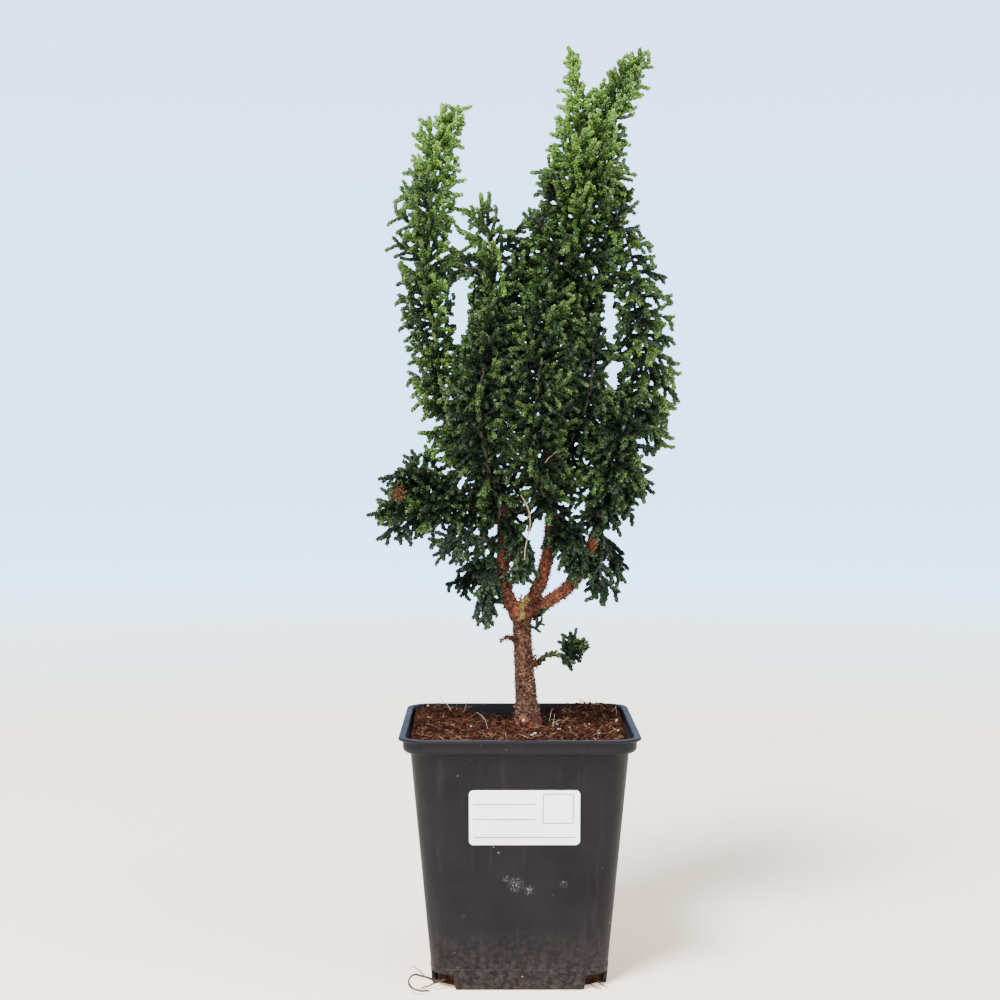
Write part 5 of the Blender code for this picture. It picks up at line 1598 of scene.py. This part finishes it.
class BONSAI_OT_stage(bpy.types.Operator):
    """Set the pale floor, the soft light and the camera"""

    bl_idname = "bonsai.stage"
    bl_label = "Stage"

    def execute(self, context):
        settings = context.scene.bonsai_stage
        bm = bmesh.new()
        bmesh.ops.create_circle(bm, segments=128, radius=60.0, cap_ends=True)
        floor = object_from_bmesh("floor", bm, floor_look())
        surroundings(context.scene, settings.sky)
        soft_light("key_light", (-0.55, -1.00, 1.65), (0.0, 0.0, 0.22), 0.55, settings.key_power)
        soft_light("fill_light", (1.15, -0.95, 0.85), (0.0, 0.0, 0.22), 1.0, settings.fill_power)
        add_camera(context.scene)
        return {"FINISHED"}


def floor_look():
    """Warm and pale near the pot, with a painted glow that is warm by the pot and bluish far off, like the backdrop's
    foot.
    """
    look = Look("pale_floor", 0.8, 0.1)
    length = look.node("ShaderNodeVectorMath", operation="LENGTH")
    look.feed(length.inputs[0], look.place)
    away = length.outputs["Value"]
    near = look.ramp(look.span(away, 0.0, 3.0), [
        (0.0, (0.88, 0.76, 0.65)), (0.25, (0.88, 0.82, 0.75)), (1.0, (0.90, 0.90, 0.88)),
    ])
    look.colour(look.mix(look.span(look.noise(9.0, 4.0), 0.35, 0.65, 0.0, 0.3), near, (0.96, 0.94, 0.92), "MULTIPLY"))
    # Painted light: the floor glows, warm by the pot and brighter and bluish far off.
    look.feed(look.shader.inputs["Emission Color"], look.ramp(look.span(away, 0.2, 1.9), [
        (0.0, (1.70, 1.15, 0.60)), (0.3, (1.25, 1.08, 0.85)), (0.55, (0.85, 1.12, 1.20)), (1.0, (0.52, 1.02, 1.66)),
    ]))
    look.feed(look.shader.inputs["Emission Strength"], look.span(away, 0.2, 1.9, 0.35, 2.2))
    return look.material


def surroundings(scene, strength):
    """A pale backdrop, cooler above a warm foot, under a plain white ceiling."""
    world = bpy.data.worlds.new("pale_surroundings")
    scene.world = world
    world.use_nodes = True
    tree = world.node_tree
    ramp = tree.nodes.new("ShaderNodeValToRGB")
    place = tree.nodes.new("ShaderNodeTexCoord")
    split = tree.nodes.new("ShaderNodeSeparateXYZ")
    tree.links.new(place.outputs["Generated"], split.inputs["Vector"])
    tree.links.new(split.outputs["Z"], ramp.inputs["Fac"])
    elements = ramp.color_ramp.elements
    while len(elements) < len(BACKDROP):
        elements.new(0.5)
    for element, (position, colour) in zip(elements, BACKDROP):
        element.position = position
        element.color = (*colour, 1.0)
    shader = tree.nodes["Background"]
    tree.links.new(ramp.outputs["Color"], shader.inputs["Color"])
    shader.inputs["Strength"].default_value = strength


BACKDROP = (  # the sine of the height above the horizon, and the colour there
    (0.0, (0.46, 0.72, 1.06)), (0.07, (0.42, 0.74, 1.18)), (0.20, (0.50, 0.62, 0.95)), (0.34, (0.36, 0.39, 0.46)),
    (0.60, (0.12, 0.125, 0.135)),
)


def soft_light(name, place, target, size, power):
    data = bpy.data.lights.new(name, "AREA")
    data.size = size
    data.energy = power
    lamp = bpy.data.objects.new(name, data)
    bpy.context.scene.collection.objects.link(lamp)
    lamp.location = place
    lamp.rotation_euler = (Vector(target) - Vector(place)).to_track_quat("-Z", "Y").to_euler()


def add_camera(scene):
    data = bpy.data.cameras.new("camera")
    data.lens = 65.48
    data.sensor_width = 36.0
    camera = bpy.data.objects.new("camera", data)
    scene.collection.objects.link(camera)
    camera.matrix_world = (
        Matrix.Translation((-0.0123, -0.8597, 0.260))
        @ Matrix.Rotation(-0.0040, 4, "Z") @ Matrix.Rotation(math.pi / 2 - 0.0440, 4, "X")
    )
    scene.camera = camera


class BONSAI_PT_panel(bpy.types.Panel):
    """Pieces and settings of the bonsai"""

    bl_idname = "BONSAI_PT_panel"
    bl_label = "Hinoki Cypress Bonsai"
    bl_space_type = "VIEW_3D"
    bl_region_type = "UI"
    bl_category = "Bonsai"

    def draw(self, context):
        for group in PROPERTY_GROUPS:
            settings = getattr(context.scene, group)
            for name in settings.bl_rna.properties.keys():
                if name not in ("rna_type", "name"):
                    self.layout.prop(settings, name)
        for operator in OPERATORS:
            self.layout.operator(operator.bl_idname)


PROPERTY_GROUPS = {
    "bonsai_leaves": LeafSettings, "bonsai_pot": PotSettings, "bonsai_soil": SoilSettings, "bonsai_stage": StageSettings,
}
OPERATORS = (BONSAI_OT_pot, BONSAI_OT_soil, BONSAI_OT_wood, BONSAI_OT_foliage, BONSAI_OT_bits, BONSAI_OT_stage)


def register():
    for group in (*PROPERTY_GROUPS.values(), *OPERATORS, BONSAI_PT_panel):
        bpy.utils.register_class(group)
    for name, group in PROPERTY_GROUPS.items():
        setattr(bpy.types.Scene, name, PointerProperty(type=group))


def unregister():
    for name in PROPERTY_GROUPS:
        delattr(bpy.types.Scene, name)
    for group in reversed((*PROPERTY_GROUPS.values(), *OPERATORS, BONSAI_PT_panel)):
        bpy.utils.unregister_class(group)


def main():
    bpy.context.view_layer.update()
    register()
    bpy.ops.bonsai.pot()
    bpy.ops.bonsai.soil()
    bpy.ops.bonsai.wood()
    bpy.ops.bonsai.foliage()
    bpy.ops.bonsai.bits()
    bpy.ops.bonsai.stage()


if __name__ == "__main__":
    main()
